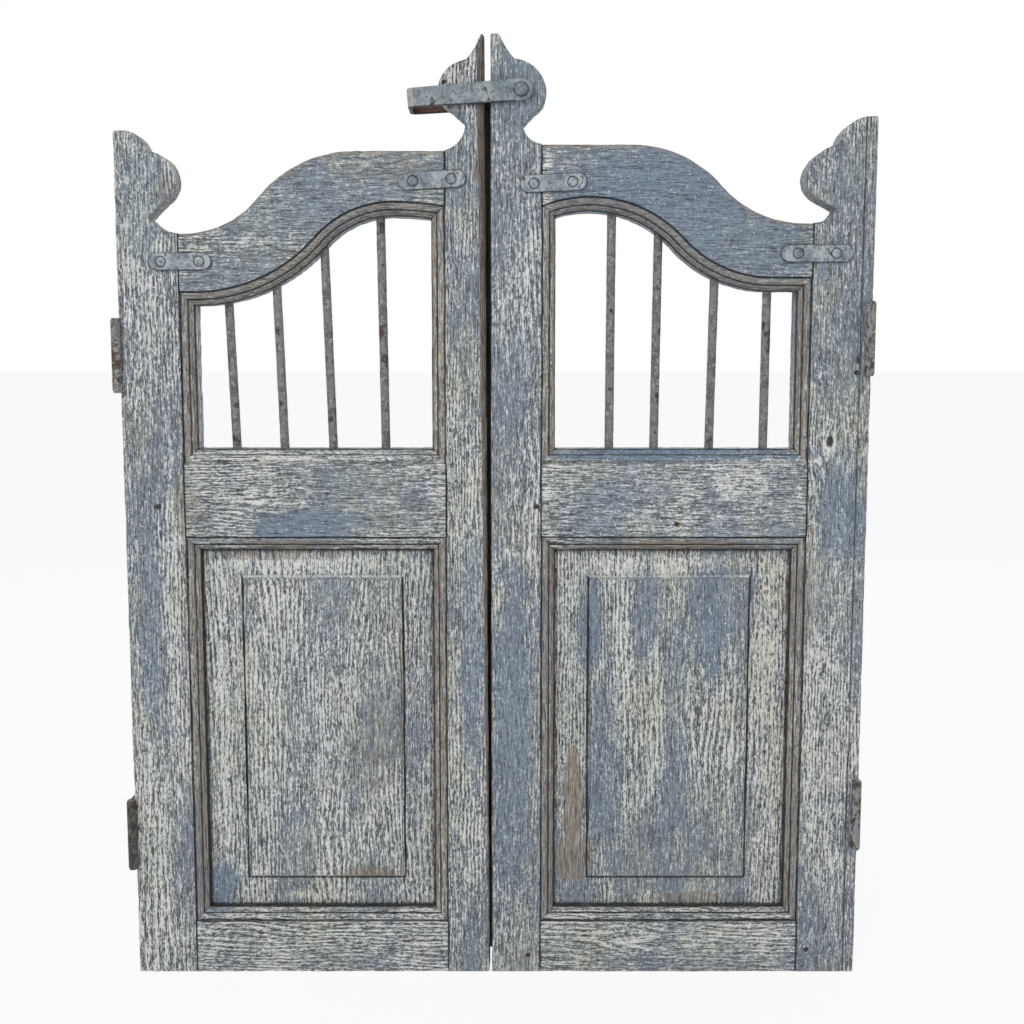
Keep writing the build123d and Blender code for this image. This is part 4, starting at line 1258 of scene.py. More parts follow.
@dataclass
class Rail(Crosspiece):
    """A straight rail between the stiles, moulded along its upper edge and perhaps its lower."""
    name: str
    low: float
    high: float
    moulded_foot: bool

    @staticmethod
    def moulding(edge: float, inwards: float, clip: np.ndarray) -> list[tuple]:
        """Corners of the moulding along one edge, cut off along the mitres.

        Args:
            edge: height of the opening's edge.
            inwards: one where the rail lies above the edge, minus one below.
            clip: how much of the moulding's width is cut off.

        Returns:
            Corners, each a height and a depth.
        """
        corners = []
        for k, reach in enumerate(MOULDING_ACROSS):
            across = np.maximum(reach, clip)
            apart = 0.01 * (len(MOULDING_ACROSS) - k) * (across > reach)
            corners.append((edge + inwards * (across + apart), FRONT + moulding_depth(across)))
        return corners

    def build(self, finish: bpy.types.Material) -> bpy.types.Object:
        """Carry the rail's section from stile to stile, with its mouldings shrinking at the mitres.

        Args:
            finish: the paint.

        Returns:
            The piece.
        """
        s, height = self.sizes, self.high - self.low
        u, deep_end = self.stations(3.8)
        open_from, open_to = s.openings()
        clip = np.clip(np.maximum(open_from - u, u - open_to), 0, MOULDING)
        flats = [1] * (len(MOULDING_ACROSS) - 4)
        foot_end = self.low + clip * self.moulded_foot
        chain = [(foot_end, deep_end), (foot_end, STEP)]
        if self.moulded_foot:
            chain += self.moulding(self.low, 1.0, clip)[::-1]
            radii, spans = [1.4, 0, 0.5, 0, 0, 0] + [0] * len(flats), [7, 2, 1, 3, 2] + flats
            spans.append(int((height - 2 * MOULDING) / 1.05))
        else:
            chain.append((foot_end, FRONT))
            radii, spans = [1.4, 0, 1.6], [7, 5, int((height - MOULDING) / 1.05)]
        top_end = self.high - clip
        chain += self.moulding(self.high, -1.0, clip) + [(top_end, STEP), (top_end, deep_end)]
        radii += [0, 0, 0] + [0] * len(flats) + [0.5, 0, 1.4]
        spans += flats + [1, 2, 3, 2, 7, int(height / 3.6)]
        loop, arris = rounded_loops(outlines(chain), np.array(radii), np.array(spans))
        shell, joint = self.stand(self.name, u, loop)
        z, front = loop[..., 0], loop[..., 1] < STEP + 0.5
        across = np.minimum(self.high - z, z - self.low) if self.moulded_foot else self.high - z
        # Painted shade in the moulding's quirks and along its inner edge; on the sill it fades away from the
        # inner edge.
        dirt_and_shade, wear = moulding_lines(across)
        sill = self.moulded_foot * (z > self.high - MOULDING)
        dirt_and_shade = np.where(sill, dirt_and_shade * np.clip(1.4 - across / 10, 0.35, 1), dirt_and_shade)
        weather(shell, Relief(s.seed + 37 + int(self.low), Grain.LEVEL, 0.5, 0.6, 4.8), arris,
                np.maximum(dirt_and_shade * front, joint), 0.45 * wear * (1 - sill) * front)
        return dress(shell.build(), finish, s.body, "painted_wood", f"{s.side}_{self.name}")


@dataclass
class TopRail(Crosspiece):
    """The shaped rail over the arch, with the moulding bent along the arch."""

    def build(self, finish: bpy.types.Material) -> bpy.types.Object:
        """Carry the section from stile to stile between the arch and the crown.

        The moulding's points lie on curves offset from the arch along its normal, so it keeps
        its width round the bends. At the ends it is cut along the mitres.

        Args:
            finish: the paint.

        Returns:
            The piece.
        """
        s = self.sizes
        u, deep_end = self.stations(2.6)
        curves = np.stack([s.arch.height(u, a) for a in MOULDING_ACROSS], axis=1)
        foot = curves[:, -1]
        ends = [(joint, opening, float(s.arch.height(np.array(opening))),
                 float(s.arch.height(np.array(joint), MOULDING)))
                for joint, opening in zip(s.shoulders(), s.openings())]
        (joint_from, open_from, low_from, high_from), (joint_to, open_to, low_to, high_to) = ends
        cut = np.where(u < open_from, np.interp(u, [joint_from, open_from], [high_from, low_from]), np.where(
            u > open_to, np.interp(u, [open_to, joint_to], [low_to, high_to]), foot))
        reach = MOULDING * np.clip((cut - foot) / (curves[:, 0] - foot), 0, 1)
        count = len(MOULDING_ACROSS)
        moulding = []
        for k in range(count):
            clipped = MOULDING_ACROSS[k] < reach
            across = np.where(clipped, reach, MOULDING_ACROSS[k])
            height = np.where(clipped, cut + 0.01 * (count - k), curves[:, k])
            moulding.append((height, FRONT + moulding_depth(across)))
        crown = s.top_edge.height(u)
        chain = [(cut, deep_end), (cut, STEP)] + moulding[::-1]
        chain += [(crown, FRONT), (crown, STEP - 0.5), (crown, deep_end)]
        radii = np.array([1.4, 0, 0.5] + [0.0] * (count - 1) + [4.5, 0, 1.8])
        spans = np.array([7, 2, 1, 3, 2] + [1] * (count - 4) + [78, 4, 8, 22])
        loop, arris = rounded_loops(outlines(chain), radii, spans)
        shell, joint = self.stand("crown_rail", u, loop)
        z, y = loop[..., 0], loop[..., 1]
        # Painted shade in the moulding's quirks and along the arch's edge, with dark joint lines at the ends.
        dirt_and_shade, wear = moulding_lines(self.across(z, curves))
        front, band = y < STEP + 0.5, (z > crown[:, None] - 4.0) & (y < STEP)
        weather(shell, Relief(s.seed + 91, Grain.LEVEL, 0.5, 0.35, 4.6), arris,
                np.maximum(dirt_and_shade * front, joint), np.maximum(wear * front, 0.32 * band))
        return dress(shell.build(), finish, s.body, "painted_wood", f"{s.side}_top_rail")

    @staticmethod
    def across(z: np.ndarray, curves: np.ndarray) -> np.ndarray:
        """Distance from the arch, along its normal, of points at given heights.

        Between two neighbouring curves the distance changes evenly with height. Beyond the
        outermost curve it grows with the height.

        Args:
            z: heights, rows by columns.
            curves: heights of the curves offset from the arch, one column for each offset.

        Returns:
            Distances, rows by columns.
        """
        result = np.maximum(z - curves[:, 0, None], 0)
        for k, step in enumerate(-np.diff(MOULDING_ACROSS)):
            high, low = curves[:, k, None], curves[:, k + 1, None]
            result = result + step * np.clip((z - low) / np.maximum(high - low, 1e-6), 0, 1)
        return result


@dataclass
class Panel:
    """A board in the lower opening with a raised field that has bevelled edges."""
    sizes: LeafSizes
    face_y: float = -6.0
    thickness: float = 8.0
    rise: float = 4.0
    bevel: float = 3.0
    tongue: float = 8.5
    hinge_margin: float = 46.0
    foot_margin: float = 34.0
    head_margin: float = 32.0

    def build(self, finish: bpy.types.Material) -> bpy.types.Object:
        """Lift the field from a flat board.

        The face is the board's plane, less the rise times the smaller of two ramps, one across
        and one up, which start at the field's margins. A thin groove runs round their foot.

        Args:
            finish: the paint.

        Returns:
            The piece.
        """
        s = self.sizes
        open_from, open_to = s.openings()
        left, right = open_from + self.hinge_margin, open_to - s.field_margin
        foot, head = PANEL_FOOT + self.foot_margin, PANEL_HEAD - self.head_margin
        grids = []
        for start, low, top, end, pitch in ((open_from, left, right, open_to, 1.15),
                                            (PANEL_FOOT, foot, head, PANEL_HEAD, 4.0)):
            marks = [start - self.tongue, low, low + self.bevel, top - self.bevel, top, end + self.tongue]
            grids.append(levels(marks, pitch, [(low - 2, low + 4, 0.6), (top - 4, top + 2, 0.6)]))
        u, z = grids
        wide, high = np.meshgrid(u, z)
        in_u = np.minimum(wide - left, right - wide)
        depth_in = np.minimum(in_u, np.minimum(high - foot, head - high))
        line = bump(depth_in + 0.4, 0.8)
        face = self.face_y - self.rise * np.clip(depth_in / self.bevel, 0, 1) + 0.9 * line
        back_u = np.linspace(u[-1], u[0], 40)
        back_wide, back_high = np.meshgrid(back_u, z)
        loop_u = np.concatenate([wide, back_wide], axis=1)
        loop_z = np.concatenate([high, back_high], axis=1)
        loop_y = np.concatenate([face, np.full(back_wide.shape, self.face_y + self.thickness)], axis=1)
        shell = Shell(f"{s.side}_field_panel", np.stack([s.x(loop_u), loop_y, loop_z], axis=2))
        # Painted shade: the panel darkens towards its edges in the opening, and the groove round the field is
        # dark on its sides and foot; along the top the same groove is painted pale as a highlight.
        side = np.minimum(loop_u - open_from, open_to - loop_u)
        end = np.minimum(loop_z - PANEL_FOOT, PANEL_HEAD - loop_z)
        shade_and_grime = np.exp(-np.maximum(np.minimum(side, end), 0) / 3.0)
        upper = (head - high < in_u) & (head - high < high - foot)
        arris, shaded_groove, lit_groove = (np.concatenate([front, np.zeros(back_wide.shape)], axis=1) for front in (
            bump(depth_in - self.bevel, 1.4), line * ~upper, line * upper))
        weather(shell, Relief(s.seed + 53, Grain.UPRIGHT, 0.7, 0.65, 5.6), arris,
                np.maximum(0.75 * shade_and_grime, shaded_groove), chalk_and_highlight=2.5 * lit_groove)
        return dress(shell.build(), finish, s.body, "painted_wood", f"{s.side}_panel")


def full_turn(count: int) -> np.ndarray:
    """Angles evenly round a circle.

    Args:
        count: how many.

    Returns:
        One row of angles.
    """
    return np.linspace(0, 2 * np.pi, count, endpoint=False)[None, :]


@dataclass
class Bar:
    """A forged iron bar, a little uneven along its length."""
    sizes: LeafSizes
    number: int
    radius: float = 5.5

    def build(self, finish: bpy.types.Material) -> bpy.types.Object:
        """Carry a circle along the bar; its radius dips with noise round and along it.

        Args:
            finish: the worn iron.

        Returns:
            The piece.
        """
        s = self.sizes
        start = s.openings()[0]
        foot_u, head_u = start + s.feet[self.number], start + s.heads[self.number]
        head_z = float(s.arch.height(np.array(head_u)))
        share = np.linspace(0, 1, 120)[:, None]
        turn = full_turn(24)
        dents = Lattice(s.seed + 70 + self.number)
        span = head_z - SILL + 10.0
        radius = self.radius - 0.05 - 0.45 * dents.cloud(2 + 1.2 * np.cos(turn), share * span / 13 + 0 * turn)
        radius = radius - 0.25 * dents.cloud(9 + 3 * np.sin(turn), share * span / 4 + 3)
        u = foot_u + (head_u - foot_u) * share + radius * np.cos(turn)
        y = radius * np.sin(turn)
        z = SILL - 5.0 + span * share + 0 * turn
        shell = Shell(f"{s.side}_iron_bar_{self.number + 1}", np.stack([s.x(u), y, z], axis=2))
        return dress(shell.build(), finish, s.body, "bar_iron", f"{s.side}_bar_{self.number + 1}")


def button(middle: tuple[float, float, float], radius: float, rise: float, facing: float,
           slot_turn: Optional[float], seed: int) -> np.ndarray:
    """A domed round head seen along y, as rings that shrink towards the crown.

    Each ring has the height that a flattened dome has there, less a slot of 0.8 mm half width
    where one is asked for, and less a little noise from the hammer or the screwdriver.

    Args:
        middle: x, y and z of the head's seat.
        radius: of the head.
        rise: of the crown.
        facing: minus one towards the front, one towards the back.
        slot_turn: angle of the slot in degrees, or none.
        seed: fixes the noise.

    Returns:
        Grid of rings by points by three coordinates.
    """
    ring = np.array([1.0, 1.0, 0.97, 0.9, 0.8, 0.68, 0.55, 0.42, 0.3, 0.18, 0.08, 0.01])[:, None]
    turn = full_turn(40)
    dome = 0.8 * rise * (np.sqrt(np.clip(1 - ring ** 2.6, 0, 1)) + 0.25 * (1 - ring))
    dome[0] = 0.0
    side, up = ring * radius * np.cos(turn), ring * radius * np.sin(turn)
    lift = dome + 0 * turn
    lift = lift - 0.18 * rise * Lattice(seed).cloud(side / 2.2 + 8, up / 2.2 + 8) * (ring < 1)
    if slot_turn is not None:
        angle = math.radians(slot_turn)
        off = -side * math.sin(angle) + up * math.cos(angle)
        lift = lift - 0.55 * rise * np.exp(-(off / 0.9) ** 4) * (ring < 0.95)
    lift = np.clip(lift, 0, rise)
    return np.stack([middle[0] + side, middle[1] + facing * lift + 0 * turn, middle[2] + up], axis=2)


def joined(name: str, grids: list[np.ndarray]) -> bpy.types.Object:
    """Make one mesh of several closed grids, each facing outwards.

    Args:
        name: the piece's name.
        grids: rings by points by coordinates, all in millimetres.

    Returns:
        The piece.
    """
    points, quads, caps, offset = [], [], [], 0
    for grid in grids:
        shell = Shell(name, grid)
        faces, count = shell.quads(), grid.shape[0] * grid.shape[1]
        ring = np.arange(grid.shape[1])
        ends = [ring[::-1], (grid.shape[0] - 1) * grid.shape[1] + ring]
        if shell.volume() < 0:
            faces, ends = faces[:, ::-1], [end[::-1] for end in ends]
        points.append(grid.reshape(-1, 3))
        quads.append(faces + offset)
        caps += [end + offset for end in ends]
        offset += count
    return make_mesh(name, np.concatenate(points), np.concatenate(quads), caps, {})


@dataclass
class StrapPlate:
    """A flat iron plate with round ends, dished round its two screws."""
    sizes: LeafSizes
    name: str
    middle: tuple[float, float]
    length: float
    turn: float
    half_height: float = 10.0
    thickness: float = 3.0
    spacing: float = 43.0
    side_points: int = 80
    end_points: int = 22
    inner_rings: int = 30

    def screws(self) -> list[tuple[float, float]]:
        """Places of the two screws.

        Returns:
            Pairs of u and z.
        """
        steps = [turned(k * self.spacing / 2, 0.0, self.turn) for k in (-1, 1)]
        return [(self.middle[0] + along, self.middle[1] + up) for along, up in steps]

    def build(self, finish: bpy.types.Material) -> bpy.types.Object:
        """Shrink the plate's outline towards its middle line, ring by ring.

        A ring's height is the plate's thickness less an eased fall near the rim, a dish round
        each screw and a little hammered noise.

        Args:
            finish: the painted iron.

        Returns:
            The piece.
        """
        half = self.length / 2 - self.half_height
        quarter = np.pi / 2
        ends, upper = np.linspace(quarter, -quarter, self.end_points), np.full(self.side_points, quarter)
        flat, turn = np.linspace(-half, half, self.side_points), np.full(self.end_points, half)
        axis = np.concatenate([flat, turn, flat[::-1], -turn])
        angle = np.concatenate([upper, ends, -upper, ends - np.pi])
        inner = np.linspace(0.88, 0.01, self.inner_rings)
        ring = np.concatenate([[0.985, 1.0, 1.0, 0.97, 0.93], inner])[:, None]
        base = np.concatenate([[0.0, 0.15, 0.62, 0.86, 0.96], np.ones(self.inner_rings)])[:, None]
        hammer = Lattice(self.sizes.seed + int(self.middle[1]))
        along = axis + ring * self.half_height * np.cos(angle)
        up = ring * self.half_height * np.sin(angle)
        height = self.thickness * base + 0 * along
        height = height - 0.5 * hammer.cloud(along / 8 + 5, up / 8 + 5) * (ring < 0.98)
        # Painted shade: a dark outline round the plate's rim and a dark ring round each screw head.
        rim_and_screw_shade = 0.75 * np.clip((ring - 0.9) / 0.05, 0, 1) + 0 * along
        for k in (-1, 1):
            away = np.hypot(along - k * self.spacing / 2, up)
            height = height - 0.45 * np.exp(-(away / 7.5) ** 4) * (ring < 0.95)
            rim_and_screw_shade = np.maximum(rim_and_screw_shade, bump(away - 5.6, 0.9))
        edge = 0.35 * (hammer.cloud(along / 6 + 2, up / 6 + 2) - 1.0)
        along, up = along * (1 + edge / 40), up * (1 + edge / 12)
        along, up = turned(along, up, self.turn)
        sizes, y = self.sizes, FRONT - np.clip(height, 0, self.thickness)
        points = np.stack([sizes.x(self.middle[0] + along), y, self.middle[1] + up], axis=2)
        shell = Shell(f"{sizes.side}_{self.name}_plate", points, {"dark": rim_and_screw_shade})
        return dress(shell.build(), finish, sizes.body, "painted_iron", f"{sizes.side}_{self.name}")


@dataclass
class LatchLoop:
    """A flat bar bent into a loop round the left finial, hung on its bolt."""
    reach: float = 127.0
    middle_y: float = 22.25
    thick: float = 4.5
    bend: float = 6.75
    eye: float = 12.5
    bend_height: float = 21.0
    tilt: float = 4.2

    def build(self, finish: bpy.types.Material) -> bpy.types.Object:
        """Carry an upright rounded rectangle round the loop.

        The path is two straight legs and two quarter circles; the section's height tapers from
        the eye to the bend and closes along a half circle at each eye.

        Args:
            finish: the latch's worn iron.

        Returns:
            The piece.
        """
        nose = 0.995 * self.eye * np.sin(np.linspace(np.pi / 2, 0, 12))
        leg = np.linspace(0, -(self.reach - self.thick / 2 - self.bend), 60)[1:]
        arc = np.linspace(0, np.pi / 2, 9)[1:]
        straight = np.zeros(len(nose) + len(leg))
        path_x = np.concatenate([nose, leg, leg[-1] - self.bend * np.sin(arc)])
        path_y = np.concatenate([straight, self.bend * (1 - np.cos(arc))]) - self.middle_y
        normal_x = -np.concatenate([straight, np.sin(arc)])
        normal_y = -np.concatenate([straight + 1.0, np.cos(arc)])
        back = np.linspace(path_y[-1], -path_y[-1], 14)[1:-1]
        path_x = np.concatenate([path_x, np.full(len(back), path_x[-1]), path_x[::-1]])
        path_y = np.concatenate([path_y, back, -path_y[::-1]])
        normal_x = np.concatenate([normal_x, np.full(len(back), -1.0), normal_x[::-1]])
        normal_y = np.concatenate([normal_y, np.zeros(len(back)), -normal_y[::-1]])
        taper = self.eye + (self.bend_height / 2 - self.eye) * np.clip(-path_x / self.reach, 0, 1)
        half = np.where(path_x > 0, np.sqrt(np.maximum(self.eye ** 2 - path_x ** 2, 0.02)), taper)
        across = self.thick / 2
        corners = np.stack([np.stack([np.full(len(half), a), b * half], axis=1)
                            for a, b in ((-across, -1), (across, -1), (across, 1), (-across, 1))], axis=1)
        loop, _ = rounded_loops(corners, np.array([0.9] * 4), np.array([3, 16, 3, 16]))
        dents = Lattice(611)
        travel = np.cumsum(np.hypot(np.gradient(path_x), np.gradient(path_y)))[:, None]
        off, up = loop[..., 0], loop[..., 1]
        dip = 0.45 * dents.cloud(travel / 9 + 3 + 0 * up, up / 9 + 6)
        off = off * (1 - dip / across * 0.9)
        up = up * (1 - 0.03 * dents.cloud(travel / 14 + 0 * up, np.sign(up) + 8))
        x = path_x[:, None] + normal_x[:, None] * off
        y = path_y[:, None] + normal_y[:, None] * off
        turned_x, turned_z = turned(x, up, self.tilt)
        share = up / np.maximum(half[:, None], 0.5)
        # Painted shade: dark round the bolt heads and along the bar's lower and upper edges.
        ring = bump(np.hypot(x, up) - 7.7, 0.9) * (np.abs(y) > self.middle_y + 0.9)
        edge = np.clip((-share - 0.80) / 0.15, 0, 1) * (x < -6) + 0.6 * np.clip((share - 0.88) / 0.1, 0, 1)
        inside = (y > 0) * (y < self.middle_y) * (x < -20)
        # Bare metal at the bend, also a painted highlight where the bent end catches the light.
        rubbed_and_lit = np.clip((-x - self.reach + 9.0) / 3.0, 0, 1) * (y < 0)
        marks = {"dark": np.clip(np.maximum(ring, 0.8 * edge), 0, 1), "rust": 0.8 * inside, "bright": rubbed_and_lit}
        shell = Shell("latch_bar", np.stack([PIVOT[0] + turned_x, y, PIVOT[1] + turned_z], axis=2), marks)
        return dress(shell.build(), finish, "latch", "latch_iron", "latch_loop")


@dataclass
class CoverLath:
    """The bare strip behind the meeting gap, nailed to the right leaf."""
    x_from: float = -13.75
    x_to: float = 20.25
    foot: float = 14.0
    thickness: float = 7.0
    relief: float = 0.6
    split: float = -3.75
    slope: float = 0.0575

    def build(self, finish: bpy.types.Material) -> bpy.types.Object:
        """Carry a rounded rectangle up the gap; its top follows the latch's slope.

        Args:
            finish: the bare wood.

        Returns:
            The piece.
        """
        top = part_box("cover_strip")[1].z / METRES - 0.05
        z = levels([self.foot, top], 4.6, [])
        near, far = BACK + self.relief, BACK + self.thickness
        corners = [(self.x_from, near), (self.split - 0.1, near), (self.split + 0.1, BACK), (self.x_to, BACK),
                   (self.x_to, far), (self.x_from, far)]
        grid = np.broadcast_to(np.array(corners), (len(z), 6, 2)).copy()
        radii, spans = np.array([1.0, 0, 0, 1.0, 1.4, 1.4]), np.array([8, 1, 16, 5, 24, 5])
        loop, arris = rounded_loops(grid, radii, spans)
        x, y = loop[..., 0], loop[..., 1]
        lower = self.slope * np.abs(x - self.x_to)
        tall = self.foot + (z[:, None] - self.foot) * (1 - lower / (top - self.foot))
        shell = Shell("gap_cover_lath", np.stack([x, y, tall], axis=2))
        fields = Relief(404, Grain.UPRIGHT).fields(*np.moveaxis(shell.points, 2, 0))
        shell.carve(0.3 * np.clip(fields["furrow"], 0, 1.2) + 0.3 * arris)
        return dress(shell.build(), finish, "right_leaf", "bare_wood", "cover_strip")


@dataclass
class Fasteners:
    """Heads of the screws, nails and bolt that show, each a radius and the rise of its crown."""
    screw_head: tuple[float, float] = (5.0, 2.2)
    nail_head: tuple[float, float] = (NAIL_RADIUS, 1.3)
    lath_nail_head: tuple[float, float] = (NAIL_RADIUS, 1.1)
    bolt_head: tuple[float, float] = (7.0, 4.0)
    bolt_radius: float = 3.9
    bolt_seat: float = 24.55
    lath_seat: float = 6.6

    def on_leaf(self, sizes: LeafSizes, plates: list[StrapPlate], screw_finish: bpy.types.Material,
                nail_finish: bpy.types.Material) -> None:
        """Set the screw heads on the strap plates and the nail heads in the face.

        Args:
            sizes: the leaf.
            plates: its strap plates.
            screw_finish: paint on the screw heads.
            nail_finish: rust on the nails.
        """
        screws = [button((sizes.x(u), FRONT - 2.4, z), *self.screw_head, -1.0, 30.0 + 47 * k + z, int(z) + k)
                  for plate in plates for k, (u, z) in enumerate(plate.screws())]
        nails = [button((sizes.x(u), FRONT + 0.6, z), *self.nail_head, -1.0, None, 40 + k)
                 for k, (u, z) in enumerate(sizes.nails)]
        dress(joined(f"{sizes.side}_plate_screw_heads", screws), screw_finish, sizes.body,
              "rusty_iron", f"{sizes.side}_strap_screws")
        dress(joined(f"{sizes.side}_nail_heads", nails), nail_finish, sizes.body,
              "rusty_iron", f"{sizes.side}_nails")

    def shared(self, bolt_finish: bpy.types.Material, nail_finish: bpy.types.Material) -> None:
        """Put the bolt through the latch's eyes and nail heads up the strip.

        Args:
            bolt_finish: worn paint on the bolt.
            nail_finish: rust on the nails.
        """
        x, z = PIVOT
        bolt = [button((x, side * self.bolt_seat, z), *self.bolt_head, side, None, 5) for side in (-1.0, 1.0)]
        turn, depths = full_turn(24), np.array([-24.6, -8.0, 8.0, 24.6])[:, None]
        bolt.append(np.stack(np.broadcast_arrays(
            x + self.bolt_radius * np.cos(turn), depths, z + self.bolt_radius * np.sin(turn)), axis=2))
        dress(joined("latch_bolt_heads", bolt), bolt_finish, "right_leaf", "latch_iron", "latch_bolt")
        low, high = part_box("cover_strip_nails")
        middle, seat = (low.x + high.x) / 2 / METRES, BACK + self.lath_seat
        heights = np.linspace(low.z / METRES + NAIL_RADIUS, high.z / METRES - NAIL_RADIUS, 6)
        nails = [button((middle, seat, z), *self.lath_nail_head, 1.0, None, int(z)) for z in heights]
        dress(joined("lath_nail_heads", nails), nail_finish, "right_leaf", "rusty_iron", "cover_strip_nails")


@dataclass
class Studio:
    """Pale floor, even light and the camera."""
    camera_x: float = 21.25
    camera_y: float = -1550.0
    camera_z: float = 730.6
    tilt: float = 6.62
    lens: float = 47.25
    sensor: float = 36.0
    floor_half: float = 60000.0
    floor_drop: float = 0.4
    floor_glow: float = 0.9
    sky_light: float = 0.5

    def build(self) -> None:
        """Lay the floor, light it softly and place the camera where the picture was taken."""
        scene = bpy.context.scene
        scene.view_settings.view_transform = "Standard"
        self.floor()
        self.sky()
        self.lamp("key_softbox", (-1.3, -2.2, 2.6), (0.0, 0.0, 0.55), 1.6, 36.0)
        self.lamp("side_softbox", (2.4, -1.4, 1.3), (0.0, 0.0, 0.5), 1.2, 5.0)
        self.lamp("back_softbox", (0.8, 2.6, 2.2), (0.0, 0.0, 0.5), 1.8, 24.0)
        data = bpy.data.cameras.new("camera")
        data.lens, data.sensor_width = self.lens, self.sensor
        camera = bpy.data.objects.new("camera", data)
        camera.location = (self.camera_x * METRES, self.camera_y * METRES, self.camera_z * METRES)
        camera.rotation_euler = (math.radians(90.0 - self.tilt), 0.0, 0.0)
        scene.collection.objects.link(camera)
        scene.camera = camera

    def floor(self) -> None:
        """A wide plain sheet under the leaves, lit to white for the camera but keeping its shadow."""
        side = np.linspace(-self.floor_half, self.floor_half, 13)
        xs, ys = np.meshgrid(side, side)
        points = np.stack([xs, ys, np.full(xs.shape, -self.floor_drop)], axis=2).reshape(-1, 3)
        row, column = np.meshgrid(np.arange(12), np.arange(12), indexing="ij")
        first = (row * 13 + column).ravel()
        quads = np.stack([first, first + 1, first + 14, first + 13], axis=1)
        piece = make_mesh("studio_floor", points, quads, [], {})
        recipe = Recipe("pale_studio_floor")
        seen = self.seen(recipe.tree)
        paper = add_node(recipe.tree, "ShaderNodeBsdfDiffuse", {"Color": linear("#f4f4f4")})
        glow = add_node(recipe.tree, "ShaderNodeEmission", {"Color": WHITE, "Strength": 1.0})
        share = recipe.math("MULTIPLY", seen, self.floor_glow)
        both = add_node(recipe.tree, "ShaderNodeMixShader",
                        {0: share, 1: paper.outputs[0], 2: glow.outputs[0]})
        add_node(recipe.tree, "ShaderNodeOutputMaterial", {"Surface": both.outputs[0]})
        piece.data.materials.append(recipe.material)

    @staticmethod
    def seen(tree: bpy.types.NodeTree) -> bpy.types.NodeSocket:
        """Tell rays from the camera, a reflection or clear material from the rest.

        Args:
            tree: where the nodes are added.

        Returns:
            One for such a ray, zero for any other.
        """
        path = add_node(tree, "ShaderNodeLightPath").outputs
        most = path["Is Camera Ray"]
        for ray in ("Is Glossy Ray", "Is Transmission Ray"):
            most = add_node(tree, "ShaderNodeMath", {0: most, 1: path[ray]}, operation="MAXIMUM").outputs[0]
        return most

    def sky(self) -> None:
        """An even white surround whose light on the object is weaker than it looks."""
        world = bpy.data.worlds.new("studio_surround")
        world.use_nodes = True
        tree = world.node_tree
        tree.nodes.clear()
        seen = self.seen(tree)
        light = add_node(tree, "ShaderNodeBackground", {"Color": WHITE, "Strength": self.sky_light})
        white = add_node(tree, "ShaderNodeBackground", {"Color": WHITE, "Strength": 1.0})
        both = add_node(tree, "ShaderNodeMixShader", {0: seen, 1: light.outputs[0], 2: white.outputs[0]})
        add_node(tree, "ShaderNodeOutputWorld", {"Surface": both.outputs[0]})
        bpy.context.scene.world = world

    def lamp(self, name: str, place: tuple, target: tuple, size: float, power: float) -> None:
        """A square soft lamp that faces a point.

        Args:
            name: the lamp's name.
            place: where it stands, in metres.
            target: what it faces.
            size: its side.
            power: in watts.
        """
        data = bpy.data.lights.new(name, "AREA")
        data.size, data.energy = size, power
        lamp = bpy.data.objects.new(name, data)
        lamp.location = place
        x, y, z = np.array(place) - np.array(target)
        lamp.rotation_euler = (math.acos(z / math.hypot(x, y, z)), 0.0, math.atan2(y, x) + math.pi / 2)
        bpy.context.scene.collection.objects.link(lamp)


LEFT = LeafSizes(
    side="left", width=418.0, hinge_face=69.0, meeting_face=49.0,
    top_edge=Ogee((75.0, 867.5), 109.7, 50.0, 144.0), arch=Ogee((87.0, 787.0), 198.0, 48.0, 103.0, 308.0),
    hinge_finial=(((0.0, 112.5),), ((12.0, 112.5),), ((28.0, 106.0), (36.0, 89.5)),
                  ((60.0, 79.0), (67.0, 60.5)),
                  ((64.0, 46.5), (54.0, 34.5)), ((36.0, 17.0),), ((49.0, 6.0),)),
    meeting_finial=(((4.5, 125.0),), ((9.0, 125.0),), ((15.5, 110.0), (25.0, 97.5)),
                    ((47.0, 86.5), (56.0, 67.5)),
                    ((53.0, 54.0), (42.0, 45.0)), ((26.0, 31.0),), ((31.0, 12.0),)),
    edge_x=-423.0, direction=1.0, feet=(42.5, 97.5, 153.5, 214.0), heads=(36.5, 91.5, 146.5, 210.5),
    hinge_heights=(171.0, 731.0), hinge_recess=1.0, bead=20.0, taper=4.5, bevel=(8.5, 10.0),
    field_margin=36.0,
    straps=(("hinge_strap", (71.5, 836.0), 71.0, 0.5), ("meeting_strap", (355.0, 925.5), 76.0, 3.2)),
    nails=((39.0, 559.0),), seed=100)
